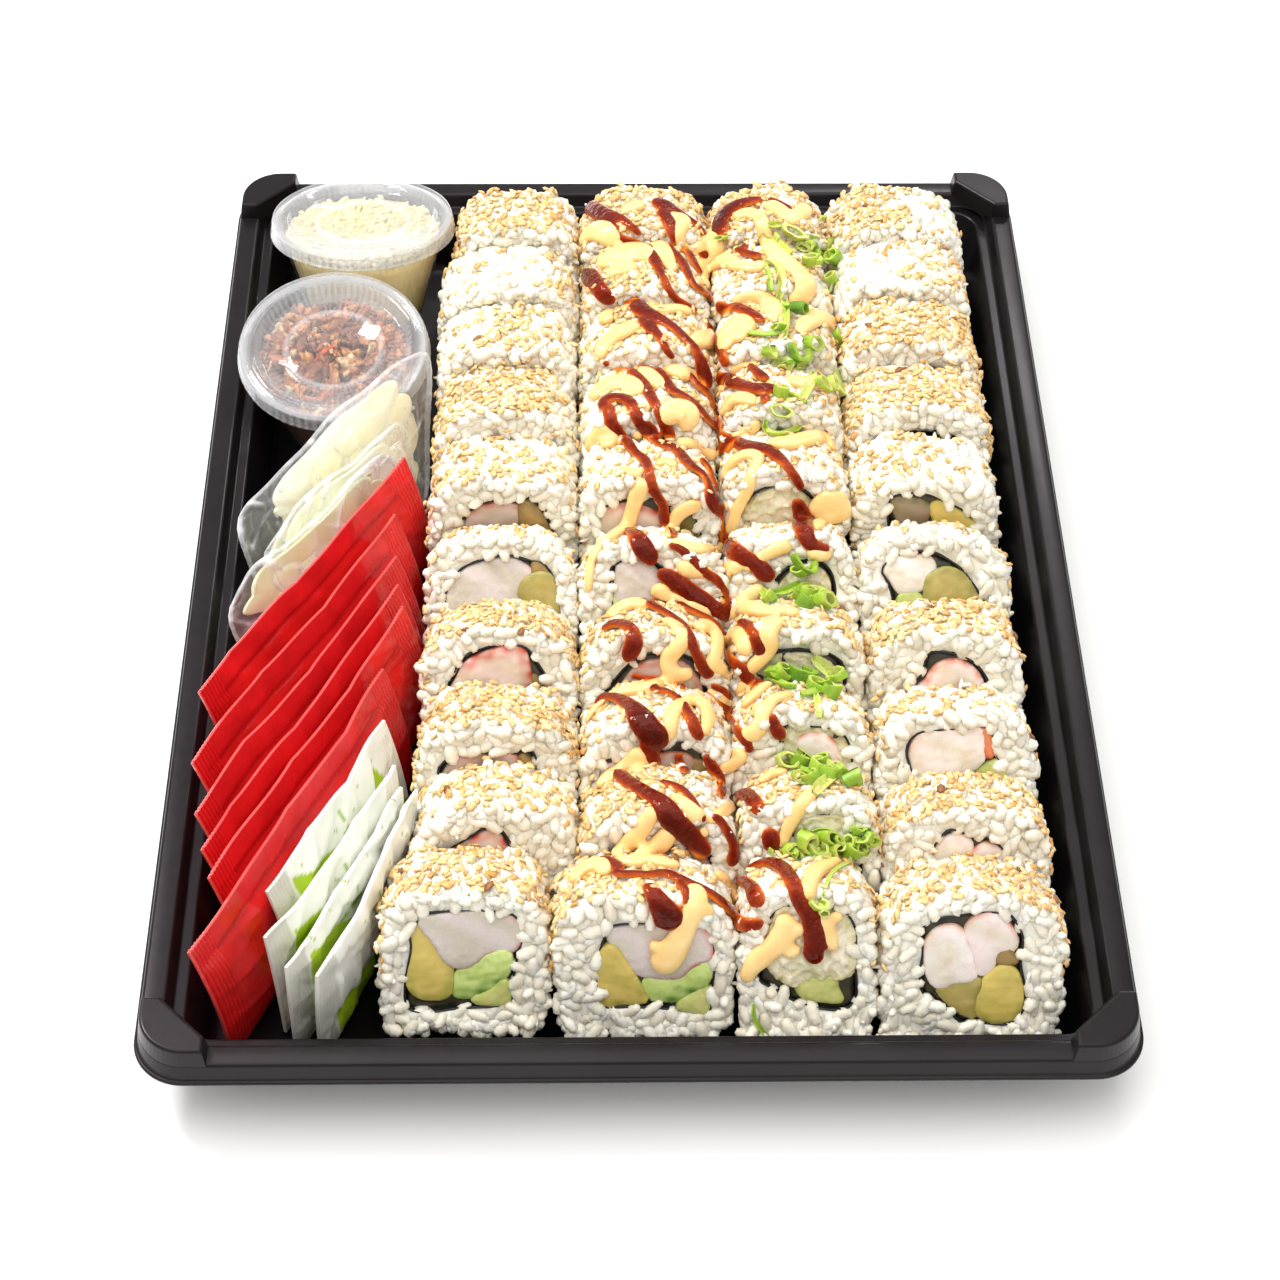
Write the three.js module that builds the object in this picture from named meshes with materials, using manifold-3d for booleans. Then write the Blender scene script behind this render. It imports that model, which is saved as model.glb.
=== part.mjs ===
// A takeaway sushi platter: a black thermoformed tray with forty slices of inside-out roll in four
// columns, two lidded portion cups, three bags of pickled ginger, six red sauce packets and four
// paper packets. Millimetres; +X to the right, +Y to the back, +Z up; the origin is under the
// middle of the tray, on the surface it stands on.
import * as THREE from 'three';
import { mergeVertices } from 'three/addons/utils/BufferGeometryUtils.js';
import Module from 'manifold-3d';

// ---- Driving dimensions -------------------------------------------------------------------

// Tray: half sizes of the outer lip, and how far each line of the section lies inside it.
const TRAY_HALF_X = 128;
const TRAY_HALF_Y = 175;
const LIP_RADIUS = 13.5;
const SHEET = 1.0;
const LIP_Z = 19.5;
const BAND_Z = 26;
const LEDGE_Z = 21.7;
const FLOOR_Z = 1.0;
const BAND_OUTER_INSET = 1.7;
const BAND_INNER_INSET = 7.8;
const LEDGE_OUTER_INSET = 9.3;
const LEDGE_INNER_INSET = 12.6;
const WALL_FOOT_INSET = 16.2;
const FLOOR_INSET = 18.2;
const FLOOR_EDGE_RISE = 1.4;
const CORNER_STEPS = 5;

// Corner pads: raised blocks on the band, chamfered on the inside.
const PAD_Z = 31;
const PAD_ALONG_X = 20;
const PAD_ALONG_Y = 20;
const PAD_DRAFT = 0.8;

// Everything in the tray stands this far above the floor's top.
const REST_GAP = 0.4;
const REST_Z = FLOOR_Z + REST_GAP;

// Roll slices: rounded squares with a small bevel at the cut edges.
const ROLL_HEIGHT = 41.5;
const ROLL_GAP = 0.4;
const ROLL_OUTLINE_POINTS = 18;
const ROLL_TOP_SQUARENESS = 2.9;
const ROLL_FOOT_SQUARENESS = 4.0;
const ROLL_BEVEL = 1.6;
const ROLL_UNEVEN = 0.35;
// Slice thickness of each row, back row first.
const ROW_THICKNESS = [26.8, 26.8, 27.6, 27.5, 26.6, 24.2, 25.2, 25.6, 24.8, 24.6];
const FIRST_ROW_Y = 143;
// Columns from left to right: middle, width, shift to the back, slack between slices, and how
// many degrees each slice leans back. The first or the last slice of some stands aside.
const COLUMNS = [
  {
    name: 'a', x: -37.2, width: 42.4, shiftY: -1, slack: 0, lean: [11, 10, 12, 14, 15, 39, 30, 24, 24, 25],
    back: { x: -35.3, width: 38.2 }, front: { x: -44.6, width: 43.2 },
  },
  {
    name: 'b', x: 5.1, width: 40.4, shiftY: 1, slack: 0.35, lean: [9, 11, 12, 15, 18, 38, 28, 25, 24, 24],
    front: { x: 1.1, width: 46.2 },
  },
  {
    name: 'c', x: 44.7, width: 37.2, shiftY: 0.5, slack: 0, lean: [11, 11, 13, 15, 18, 38, 28, 32, 31, 31],
    front: { x: 42.7, width: 35.4 },
  },
  {
    name: 'd', x: 85.6, width: 42.6, shiftY: 1.5, slack: 0, lean: [9, 10, 12, 15, 13, 40, 27, 33, 28, 28],
    front: { x: 84.6, width: 47.0 },
  },
];

// Portion cups: a ribbed clear tub with a recessed snap lid.
const CUP_HEIGHT = 33.2;
const CUP_BASE_RADIUS = 18.2;
const CUP_TOP_RADIUS = 26.8;
const CUP_WALL = 0.9;
const CUP_RIM_RADIUS = 28.2;
const CUP_GAP = 0.35;
const CUP_SEGMENTS = 22;
const LID_RADIUS = 29.6;
const LID_SKIRT = 5.4;
const LID_RECESS = 2.2;
const CUPS = [
  { name: 'cup_back', x: -84.8, y: 131.5, tilt: -14, fill: 0.86, colour: 0xeadfa4 },
  { name: 'cup_front', x: -90.6, y: 84.8, tilt: 9, fill: 0.62, colour: 0x9a6238 },
];

// Sachets stand on a long edge, lean back and bend: top left corner, heading from +X in degrees,
// length, height, how far the top leans behind the foot, and thickness at the middle.
const SEAM = 0.9;
const RED_LENGTH = 104;
const RED_HEIGHT = 43;
const RED_THICKNESS = 5.0;
const RED_SACHETS = [
  { x: -117.5, y: -66.0, heading: 60.8, lean: 8.5 },
  { x: -117.0, y: -90.5, heading: 62.2, lean: 9.0 },
  { x: -114.6, y: -107.5, heading: 63.0, lean: 9.0 },
  { x: -111.8, y: -119.6, heading: 64.0, lean: 8.5 },
  { x: -109.0, y: -129.0, heading: 64.6, lean: 7.5 },
  { x: -111.8, y: -152.5, heading: 65.4, lean: 7.0 },
];
const PAPER_LENGTH = 63.6;
const PAPER_HEIGHT = 40;
const PAPER_THICKNESS = 3.8;
const PAPER_SACHETS = [
  { x: -94.6, y: -131.0, heading: 64.6, lean: 5.2 },
  { x: -93.5, y: -146.6, heading: 62.0, lean: 1.3 },
  { x: -88.0, y: -155.0, heading: 65.2, lean: -0.8 },
  { x: -80.0, y: -158.1, heading: 69.3, lean: -2.2 },
];

// Ginger bags: four corners each, since soft bags slump into the room that is left.
const BAG_SEAM = 1.0;
const BAGS = [
  {
    thickness: 7.8, topLeft: [-117.4, 6.6, 37], topRight: [-60.6, 74.2, 49],
    footRight: [-61.5, 42, 3.5], footLeft: [-103, -9, 2.6],
  },
  {
    thickness: 5.4, topLeft: [-107.0, -6, 38], topRight: [-66.5, 42, 46.5],
    footRight: [-63, 30.5, 4], footLeft: [-102, -24, 2.6],
  },
  {
    thickness: 5.0, topLeft: [-115.6, -28.5, 38], topRight: [-69.5, 31.5, 44],
    footRight: [-64, 21.5, 4], footLeft: [-104, -41, 2.6],
  },
];

// ---- Materials ----------------------------------------------------------------------------

function material(colour, roughness) {
  return new THREE.MeshStandardMaterial({ color: colour, roughness, metalness: 0 });
}

const BLACK_PLASTIC = material(0x17181a, 0.35);
const RICE = material(0xeee9dc, 0.6);
const CLEAR_PLASTIC = material(0xd9dde0, 0.12);
const GINGER = material(0xe9dfae, 0.3);
const RED_FILM = material(0xc8161d, 0.3);
const WHITE_PAPER = material(0xe9ebe2, 0.6);

// ---- Geometry helpers ---------------------------------------------------------------------

const degrees = (value) => (value * Math.PI) / 180;

// A closed skin through rings of equal point count, closed by a flat fan at either end.
function loftGeometry(rings) {
  const count = rings[0].length;
  const positions = rings.flat(2);
  const faces = [];
  for (let r = 0; r < rings.length - 1; r += 1) {
    for (let i = 0; i < count; i += 1) {
      const j = (i + 1) % count;
      faces.push(r * count + i, r * count + j, (r + 1) * count + j);
      faces.push(r * count + i, (r + 1) * count + j, (r + 1) * count + i);
    }
  }
  const end = (rings.length - 1) * count;
  for (let i = 1; i < count - 1; i += 1) {
    faces.push(0, i + 1, i);
    faces.push(end, end + i, end + i + 1);
  }
  const geometry = new THREE.BufferGeometry();
  geometry.setAttribute('position', new THREE.Float32BufferAttribute(positions, 3));
  geometry.setIndex(faces);
  return geometry;
}

function addMesh(parent, name, geometry, meshMaterial) {
  geometry.computeVertexNormals();
  const mesh = new THREE.Mesh(geometry, meshMaterial);
  mesh.name = name;
  parent.add(mesh);
  return mesh;
}

const wasm = await Module();
wasm.setup();

function toManifold(geometry) {
  const bare = geometry.clone();
  bare.deleteAttribute('normal');
  bare.deleteAttribute('uv');
  const merged = mergeVertices(bare);
  return new wasm.Manifold(new wasm.Mesh({
    numProp: 3,
    vertProperties: new Float32Array(merged.attributes.position.array),
    triVerts: new Uint32Array(merged.index.array),
  }));
}

function fromManifold(solid) {
  const mesh = solid.getMesh();
  const geometry = new THREE.BufferGeometry();
  geometry.setAttribute('position', new THREE.BufferAttribute(mesh.vertProperties, 3));
  geometry.setIndex(new THREE.BufferAttribute(mesh.triVerts, 1));
  return geometry;
}

// ---- Tray ---------------------------------------------------------------------------------

// One ring of the tray: the lip's rounded rectangle moved inwards by `inset`, at height z.
function trayRing(inset, z) {
  const radius = Math.max(LIP_RADIUS - inset * 0.45, 6);
  const halfX = TRAY_HALF_X - inset;
  const halfY = TRAY_HALF_Y - inset;
  const points = [];
  for (let corner = 0; corner < 4; corner += 1) {
    const signX = corner === 0 || corner === 3 ? 1 : -1;
    const signY = corner < 2 ? 1 : -1;
    for (let step = 0; step <= CORNER_STEPS; step += 1) {
      const angle = (corner + step / CORNER_STEPS) * (Math.PI / 2);
      points.push([
        signX * (halfX - radius) + radius * Math.cos(angle),
        signY * (halfY - radius) + radius * Math.sin(angle),
        z,
      ]);
    }
  }
  return points;
}

// The formed sheet: up the inside from the floor, over the band, down the skirt to the lip, and
// back underneath, one sheet thickness away.
function sheetGeometry() {
  const rings = [
    trayRing(FLOOR_INSET, FLOOR_Z),
    trayRing(WALL_FOOT_INSET, FLOOR_Z + FLOOR_EDGE_RISE),
    trayRing(LEDGE_INNER_INSET, LEDGE_Z),
    trayRing(LEDGE_OUTER_INSET, LEDGE_Z),
    trayRing(BAND_INNER_INSET, BAND_Z),
    trayRing(BAND_OUTER_INSET, BAND_Z),
    trayRing(SHEET, LIP_Z + SHEET),
    trayRing(0, LIP_Z + SHEET),
    trayRing(0, LIP_Z),
    trayRing(SHEET * 1.9, LIP_Z),
    trayRing(BAND_OUTER_INSET + SHEET, BAND_Z - SHEET),
    trayRing(BAND_INNER_INSET - SHEET * 0.6, BAND_Z - SHEET),
    trayRing(LEDGE_OUTER_INSET - SHEET * 0.6, LEDGE_Z - SHEET),
    trayRing(LEDGE_INNER_INSET - SHEET * 0.8, LEDGE_Z - SHEET),
    trayRing(WALL_FOOT_INSET - SHEET, FLOOR_EDGE_RISE),
    trayRing(FLOOR_INSET - SHEET * 0.5, 0),
  ];
  return loftGeometry(rings.reverse());
}

// One corner pad in plan: the band's outer arc outside and a straight chamfer inside.
function padRing(signX, signY, shrink, z) {
  const outerX = TRAY_HALF_X - BAND_OUTER_INSET - shrink;
  const outerY = TRAY_HALF_Y - BAND_OUTER_INSET - shrink;
  const innerX = TRAY_HALF_X - BAND_INNER_INSET - 0.3 + shrink;
  const innerY = TRAY_HALF_Y - BAND_INNER_INSET - 0.3 + shrink;
  const endX = TRAY_HALF_X - PAD_ALONG_X + shrink;
  const endY = TRAY_HALF_Y - PAD_ALONG_Y + shrink;
  const radius = LIP_RADIUS - 0.8 - shrink;
  const points = [[endX, innerY], [innerX, endY], [outerX, endY]];
  for (let step = 0; step <= CORNER_STEPS; step += 1) {
    const angle = (step / CORNER_STEPS) * (Math.PI / 2);
    points.push([outerX - radius * (1 - Math.cos(angle)), outerY - radius * (1 - Math.sin(angle))]);
  }
  points.push([endX, outerY]);
  const placed = points.map(([x, y]) => [signX * x, signY * y, z]);
  return signX * signY > 0 ? placed : placed.reverse();
}

function padSolid(signX, signY, shrink, bottom, top) {
  return toManifold(loftGeometry([
    padRing(signX, signY, shrink, bottom),
    padRing(signX, signY, shrink + PAD_DRAFT, top),
  ]));
}

function trayGeometry() {
  let solid = toManifold(sheetGeometry());
  for (const signX of [-1, 1]) {
    for (const signY of [-1, 1]) {
      const pad = padSolid(signX, signY, 0, BAND_Z - SHEET * 0.5, PAD_Z);
      const hollow = padSolid(signX, signY, SHEET * 1.2, BAND_Z - SHEET * 1.5, PAD_Z - SHEET);
      solid = solid.add(pad).subtract(hollow);
    }
  }
  return fromManifold(solid);
}

// ---- Roll slices --------------------------------------------------------------------------

// The slice's rounded square outline, slightly uneven, standing in X and Z with its foot at z = 0.
function rollRing(width, height, y, shrink, phase) {
  const points = [];
  for (let i = 0; i < ROLL_OUTLINE_POINTS; i += 1) {
    const angle = ((i + 0.5) / ROLL_OUTLINE_POINTS) * Math.PI * 2;
    const cos = Math.cos(angle);
    const sin = Math.sin(angle);
    const power = sin > 0 ? ROLL_TOP_SQUARENESS : ROLL_FOOT_SQUARENESS;
    const reach = (Math.abs(cos) ** power + Math.abs(sin) ** power) ** (-1 / power);
    const dent = 1 + Math.sin(angle * 3 + phase);
    const halfX = width / 2 - shrink - (ROLL_UNEVEN * dent) / 2;
    const halfZ = height / 2 - shrink;
    points.push([halfX * reach * cos, y, height / 2 + halfZ * reach * sin]);
  }
  return points;
}

function rollGeometry(width, height, thickness, phase) {
  return loftGeometry([
    rollRing(width, height, 0, ROLL_BEVEL, phase),
    rollRing(width, height, -ROLL_BEVEL, 0, phase),
    rollRing(width, height, -thickness + ROLL_BEVEL, 0, phase),
    rollRing(width, height, -thickness, ROLL_BEVEL, phase),
  ]);
}

// How far in front of its neighbour a slice's foot has to stand, so that the two just clear each
// other: one that leans more meets it at the top, one that leans less at the foot.
function footSpacing(leanBack, leanFront, thickness, height) {
  if (leanFront >= leanBack) {
    const reach = height * Math.sin(leanFront - leanBack);
    return (thickness + ROLL_GAP + reach) / Math.cos(leanBack);
  }
  const lift = thickness * Math.sin(leanBack) * Math.sin(leanFront);
  return thickness * Math.cos(leanBack) + (ROLL_GAP + lift) / Math.cos(leanFront);
}

function addRolls(parent) {
  COLUMNS.forEach((column, columnIndex) => {
    let footY = FIRST_ROW_Y + column.shiftY;
    ROW_THICKNESS.forEach((thickness, row) => {
      const lean = degrees(column.lean[row]);
      if (row > 0) {
        const leanBack = degrees(column.lean[row - 1]);
        footY -= footSpacing(leanBack, lean, ROW_THICKNESS[row - 1], ROLL_HEIGHT) + column.slack;
      }
      const ends = { 0: column.back, [ROW_THICKNESS.length - 1]: column.front };
      const place = ends[row] ?? column;
      const phase = row * 2.1 + columnIndex * 1.3;
      const geometry = rollGeometry(place.width, ROLL_HEIGHT, thickness, phase);
      const name = `roll_${column.name}${String(row + 1).padStart(2, '0')}`;
      const roll = addMesh(parent, name, geometry, RICE);
      roll.position.set(place.x, footY, REST_Z);
      roll.rotation.x = -lean;
    });
  });
}

// ---- Portion cups -------------------------------------------------------------------------

function latheGeometry(profile) {
  const points = profile.map(([radius, z]) => new THREE.Vector2(radius, z));
  const geometry = new THREE.LatheGeometry(points, CUP_SEGMENTS);
  geometry.deleteAttribute('normal');
  geometry.deleteAttribute('uv');
  geometry.rotateX(Math.PI / 2);
  return mergeVertices(geometry, 1e-4);
}

// The radius just inside the tub's wall at height z.
function fillingRadiusAt(z) {
  const rise = (z - CUP_WALL) / (CUP_HEIGHT - CUP_WALL);
  return CUP_BASE_RADIUS - CUP_WALL - CUP_GAP + (CUP_TOP_RADIUS - CUP_BASE_RADIUS) * rise;
}

function cupTubProfile() {
  return [
    [0, 0],
    [CUP_BASE_RADIUS, 0],
    [CUP_TOP_RADIUS, CUP_HEIGHT - CUP_WALL],
    [CUP_RIM_RADIUS, CUP_HEIGHT - CUP_WALL],
    [CUP_RIM_RADIUS, CUP_HEIGHT],
    [CUP_TOP_RADIUS - CUP_WALL, CUP_HEIGHT],
    [CUP_BASE_RADIUS - CUP_WALL, CUP_WALL],
    [0, CUP_WALL],
  ];
}

function cupFillingProfile(fill) {
  const foot = CUP_WALL + CUP_GAP;
  const top = CUP_HEIGHT * fill;
  const crown = top - 1.5;
  return [
    [0, foot],
    [fillingRadiusAt(foot), foot],
    [fillingRadiusAt(crown), crown],
    [fillingRadiusAt(crown) * 0.72, top],
    [0, top - 0.6],
  ];
}

// The lid caps the rim with a skirt, and a plug in its middle sits inside the tub's mouth.
function cupLidProfile() {
  const under = CUP_HEIGHT + CUP_GAP;
  const top = under + CUP_WALL;
  const plug = CUP_TOP_RADIUS - CUP_WALL - CUP_GAP - 0.6;
  return [
    [0, top - LID_RECESS],
    [plug - 2.6, top - LID_RECESS],
    [plug - 1.2, top + 0.9],
    [CUP_RIM_RADIUS, top + 0.9],
    [LID_RADIUS, top - LID_SKIRT + 0.9],
    [LID_RADIUS - CUP_WALL, top - LID_SKIRT + 0.9],
    [CUP_RIM_RADIUS + CUP_GAP, top - CUP_WALL],
    [plug, under],
    [plug - 1.6, under - LID_RECESS - 0.4],
    [0, under - LID_RECESS - 0.4],
  ].reverse();
}

function addCups(parent) {
  for (const cup of CUPS) {
    const group = new THREE.Group();
    const tilt = degrees(cup.tilt);
    const lift = CUP_BASE_RADIUS * Math.abs(Math.sin(tilt));
    group.position.set(cup.x, cup.y, REST_Z + lift);
    group.rotation.x = tilt;
    parent.add(group);
    addMesh(group, cup.name, latheGeometry(cupTubProfile()), CLEAR_PLASTIC);
    addMesh(group, `${cup.name}_filling`, latheGeometry(cupFillingProfile(cup.fill)), material(cup.colour, 0.6));
    addMesh(group, `${cup.name}_lid`, latheGeometry(cupLidProfile()), CLEAR_PLASTIC);
  }
}

// ---- Sachets and bags ---------------------------------------------------------------------

// Where the skin is cut across and up a sachet, and how full it is there.
const ACROSS = [0, 0.1, 0.5, 0.9, 1];
const UP = [0, 0.18, 0.5, 0.8, 1];
const fullness = (part) => Math.min(1, 5 * Math.min(part, 1 - part)) ** 0.7;

// A closed pillow about the surface middle(u, v), with a thin seam all round.
function pillowGeometry(middle, seam, thickness) {
  const step = 0.01;
  const along = new THREE.Vector3();
  const rising = new THREE.Vector3();
  const normal = new THREE.Vector3();
  function skinPoint(u, v, side) {
    along.copy(middle(u + step, v)).sub(middle(u - step, v));
    rising.copy(middle(u, v + step)).sub(middle(u, v - step));
    normal.crossVectors(along, rising).normalize();
    const half = seam / 2 + ((thickness - seam) / 2) * fullness(u) * fullness(v);
    return middle(u, v).addScaledVector(normal, side * half).toArray();
  }
  const columns = ACROSS.length;
  const positions = [];
  for (const side of [1, -1]) {
    for (const v of UP) {
      for (const u of ACROSS) positions.push(...skinPoint(u, v, side));
    }
  }
  const back = columns * UP.length;
  const faces = [];
  const quad = (a, b, c, d) => faces.push(a, b, c, a, c, d);
  for (let j = 0; j < UP.length - 1; j += 1) {
    for (let i = 0; i < columns - 1; i += 1) {
      const a = j * columns + i;
      quad(a, a + 1, a + columns + 1, a + columns);
      quad(back + a, back + a + columns, back + a + columns + 1, back + a + 1);
    }
  }
  const rim = [];
  for (let i = 0; i < columns - 1; i += 1) rim.push(i);
  for (let j = 0; j < UP.length - 1; j += 1) rim.push(j * columns + columns - 1);
  for (let i = columns - 1; i > 0; i -= 1) rim.push((UP.length - 1) * columns + i);
  for (let j = UP.length - 1; j > 0; j -= 1) rim.push(j * columns);
  rim.forEach((a, index) => {
    const b = rim[(index + 1) % rim.length];
    quad(a, back + a, back + b, b);
  });
  const geometry = new THREE.BufferGeometry();
  geometry.setAttribute('position', new THREE.Float32BufferAttribute(positions, 3));
  geometry.setIndex(faces);
  return geometry;
}

// A standing sachet's middle surface: it leans more and more towards its top.
function standingSurface(sachet, length, height) {
  const heading = degrees(sachet.heading);
  const along = new THREE.Vector3(Math.cos(heading), Math.sin(heading), 0);
  const behind = new THREE.Vector3(-Math.sin(heading), Math.cos(heading), 0);
  const rise = Math.sqrt(height ** 2 - sachet.lean ** 2);
  const foot = new THREE.Vector3(sachet.x, sachet.y, REST_Z + SEAM / 2).addScaledVector(behind, -sachet.lean);
  return (u, v) => foot.clone()
    .addScaledVector(along, u * length)
    .addScaledVector(behind, sachet.lean * v * Math.abs(v))
    .add(new THREE.Vector3(0, 0, rise * v));
}

function cornerSurface(bag) {
  const [topLeft, topRight, footRight, footLeft] = [bag.topLeft, bag.topRight, bag.footRight, bag.footLeft]
    .map((corner) => new THREE.Vector3(...corner));
  return (u, v) => {
    const top = topLeft.clone().lerp(topRight, u);
    const foot = footLeft.clone().lerp(footRight, u);
    return foot.lerp(top, v);
  };
}

function addSachets(parent) {
  RED_SACHETS.forEach((sachet, index) => {
    const surface = standingSurface(sachet, RED_LENGTH, RED_HEIGHT);
    addMesh(parent, `sauce_packet_${index + 1}`, pillowGeometry(surface, SEAM, RED_THICKNESS), RED_FILM);
  });
  PAPER_SACHETS.forEach((sachet, index) => {
    const surface = standingSurface(sachet, PAPER_LENGTH, PAPER_HEIGHT);
    addMesh(parent, `paper_packet_${index + 1}`, pillowGeometry(surface, SEAM, PAPER_THICKNESS), WHITE_PAPER);
  });
  BAGS.forEach((bag, index) => {
    const geometry = pillowGeometry(cornerSurface(bag), BAG_SEAM, bag.thickness);
    addMesh(parent, `ginger_bag_${index + 1}`, geometry, GINGER);
  });
}

// ---- Assembly -----------------------------------------------------------------------------

const platter = new THREE.Group();
addMesh(platter, 'tray', trayGeometry(), BLACK_PLASTIC);
addRolls(platter);
addCups(platter);
addSachets(platter);

export default platter;
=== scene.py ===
# The looks of a takeaway sushi platter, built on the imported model's frame. Lengths in the tables
# are millimetres; make_piece turns them into metres.
import math

import bpy
import numpy as np
from mathutils import Matrix, Vector
from mathutils.bvhtree import BVHTree


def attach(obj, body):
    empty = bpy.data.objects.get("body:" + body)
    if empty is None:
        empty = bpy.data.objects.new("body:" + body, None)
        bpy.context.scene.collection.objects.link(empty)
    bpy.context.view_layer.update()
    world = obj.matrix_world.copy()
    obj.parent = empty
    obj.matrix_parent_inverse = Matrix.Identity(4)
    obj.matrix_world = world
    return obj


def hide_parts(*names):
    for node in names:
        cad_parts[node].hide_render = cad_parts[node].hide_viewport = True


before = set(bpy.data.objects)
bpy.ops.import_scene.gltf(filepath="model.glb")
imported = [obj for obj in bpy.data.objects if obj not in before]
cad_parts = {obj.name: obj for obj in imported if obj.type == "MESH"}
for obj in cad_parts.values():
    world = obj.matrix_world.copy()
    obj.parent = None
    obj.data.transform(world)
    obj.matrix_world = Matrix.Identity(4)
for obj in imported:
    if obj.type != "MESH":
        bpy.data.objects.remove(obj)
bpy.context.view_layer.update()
scene = bpy.context.scene
rng = np.random.default_rng(11)

# ---- Camera: its place and aim, and rays through pixels of the 1280 frame ----------------------

CAMERA_AT = np.array([-11.8, -558.3, 610.6])
FOCAL_PX = 2779.3
FRAME_PX = 1280
SENSOR = 36
YAW, DIP, ROLL = (math.radians(a) for a in (1.48, 47.97, 0.86))


def camera_axes():
    ahead = np.array([math.sin(YAW) * math.cos(DIP), math.cos(YAW) * math.cos(DIP), -math.sin(DIP)])
    level = np.array([math.cos(YAW), -math.sin(YAW), 0.0])
    above = np.cross(level, ahead)
    right = math.cos(ROLL) * level + math.sin(ROLL) * above
    up = math.cos(ROLL) * above - math.sin(ROLL) * level
    return right, up, ahead


RIGHT, UP, AHEAD = camera_axes()


def ray(px, py):
    """Direction from the camera through a pixel."""
    half = FRAME_PX / 2
    d = AHEAD + (px - half) / FOCAL_PX * RIGHT - (py - half) / FOCAL_PX * UP
    return d / np.linalg.norm(d)


def add_object(name, data):
    thing = bpy.data.objects.new(name, data)
    scene.collection.objects.link(thing)
    return thing


def add_camera():
    data = bpy.data.cameras.new("camera")
    data.sensor_width = SENSOR
    data.lens = FOCAL_PX / FRAME_PX * SENSOR
    data.clip_start = 0.01
    scene.camera = add_object("camera", data)
    turn = Matrix((RIGHT, UP, -AHEAD)).transposed().to_4x4()
    scene.camera.matrix_world = Matrix.Translation(Vector(CAMERA_AT / 1000)) @ turn


# ---- Mesh helpers ---------------------------------------------------------------------------


def unit(v):
    return v / np.linalg.norm(v, axis=-1, keepdims=True)


def traced(text):
    """A table of runs, split by semicolons: each is an array with a row for each point."""
    return [np.array([point.split(",") for point in run.split()], float) for run in text.split(";")]


def make_piece(name, points, faces, look, slot, replaces=(), tint=None, smooth=True):
    """One object riding on the root. faces is an index array, or a list of index lists."""
    mesh = bpy.data.meshes.new(name)
    points = np.asarray(points, dtype=np.float64).reshape(-1, 3) / 1000
    if isinstance(faces, np.ndarray):
        count, sides = faces.shape
        mesh.vertices.add(len(points))
        mesh.vertices.foreach_set("co", points.astype(np.float32).ravel())
        mesh.loops.add(count * sides)
        mesh.loops.foreach_set("vertex_index", faces.astype(np.int32).ravel())
        mesh.polygons.add(count)
        mesh.polygons.foreach_set("loop_start", np.arange(0, count * sides, sides, dtype=np.int32))
        mesh.update(calc_edges=True)
    else:
        mesh.from_pydata(points.tolist(), [], faces)
    mesh.polygons.foreach_set("use_smooth", np.full(len(mesh.polygons), smooth))
    if tint is not None:
        colours = np.ones((len(points), 4), dtype=np.float32)
        colours[:, :3] = tint
        layer = mesh.color_attributes.new("tint", "FLOAT_COLOR", "POINT")
        layer.data.foreach_set("color", colours.ravel())
    mesh.materials.append(look)
    piece = add_object(name, mesh)
    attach(piece, "root")
    if replaces:
        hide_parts(*replaces)
    return piece


def modify(piece, kind, **settings):
    modifier = piece.modifiers.new(kind.lower(), kind)
    for key, value in settings.items():
        setattr(modifier, key, value)


def grid_faces(rows, columns, wrap_columns=False, wrap_rows=False):
    """Quads over a rows x columns grid of points."""
    r = np.arange(rows if wrap_rows else rows - 1)
    c = np.arange(columns if wrap_columns else columns - 1)
    r, c = np.meshgrid(r, c, indexing="ij")
    r2, c2 = (r + 1) % rows, (c + 1) % columns
    quads = np.stack([r * columns + c, r * columns + c2, r2 * columns + c2, r2 * columns + c], -1)
    return quads.reshape(-1, 4)


def tube_faces(rows, columns, sense=1):
    """The faces of a closed tube of rings, with a cap at either end."""
    last = (rows - 1) * columns
    faces = grid_faces(rows, columns, wrap_columns=True)[:, ::sense].tolist()
    return faces + [list(range(last, last + columns))[::sense], list(range(columns))[::-sense]]


def join(parts):
    """Points and faces of several meshes as one."""
    points, faces, total = [], [], 0
    for some, their in parts:
        points.append(some)
        their = their.tolist() if isinstance(their, np.ndarray) else their
        faces += [[i + total for i in f] for f in their]
        total += len(some)
    return np.concatenate(points), faces


def around(count):
    """Evenly spaced angles of one turn."""
    return np.arange(count) * 2 * math.pi / count


def bead(sides, rings, profile):
    """A closed bead along X from -1 to 1 in triangles: points (n, 3) and faces."""
    stops = np.sin(np.linspace(-1, 1, rings + 2)[1:-1] * math.pi / 2)
    turn = around(sides)
    points = [[-1, 0, 0]]
    for i, t in enumerate(stops):
        points += [[t, profile(t) * math.cos(a), profile(t) * math.sin(a)] for a in turn + i * 0.5]
    points.append([1, 0, 0])
    faces = []
    last = 1 + (rings - 1) * sides
    for j in range(sides):
        k = (j + 1) % sides
        faces += [[0, 1 + k, 1 + j], [last + sides, last + j, last + k]]
        for i in range(rings - 1):
            a, b = 1 + i * sides, 1 + (i + 1) * sides
            faces += [[a + j, a + k, b + k], [a + j, b + k, b + j]]
    return np.array(points), np.array(faces)


def scatter(shape, centres, axes, sizes):
    """Joined copies of a bead-like shape: centres (n, 3), axes three (n, 3), sizes (n, 3)."""
    points, faces = shape
    local = points[None] * sizes[:, None, :]
    placed = centres[:, None, :] + sum(local[:, :, i:i + 1] * axes[i][:, None, :] for i in range(3))
    index = faces[None] + (np.arange(len(centres)) * len(points))[:, None, None]
    return placed.reshape(-1, 3), index.reshape(-1, 3)


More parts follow.
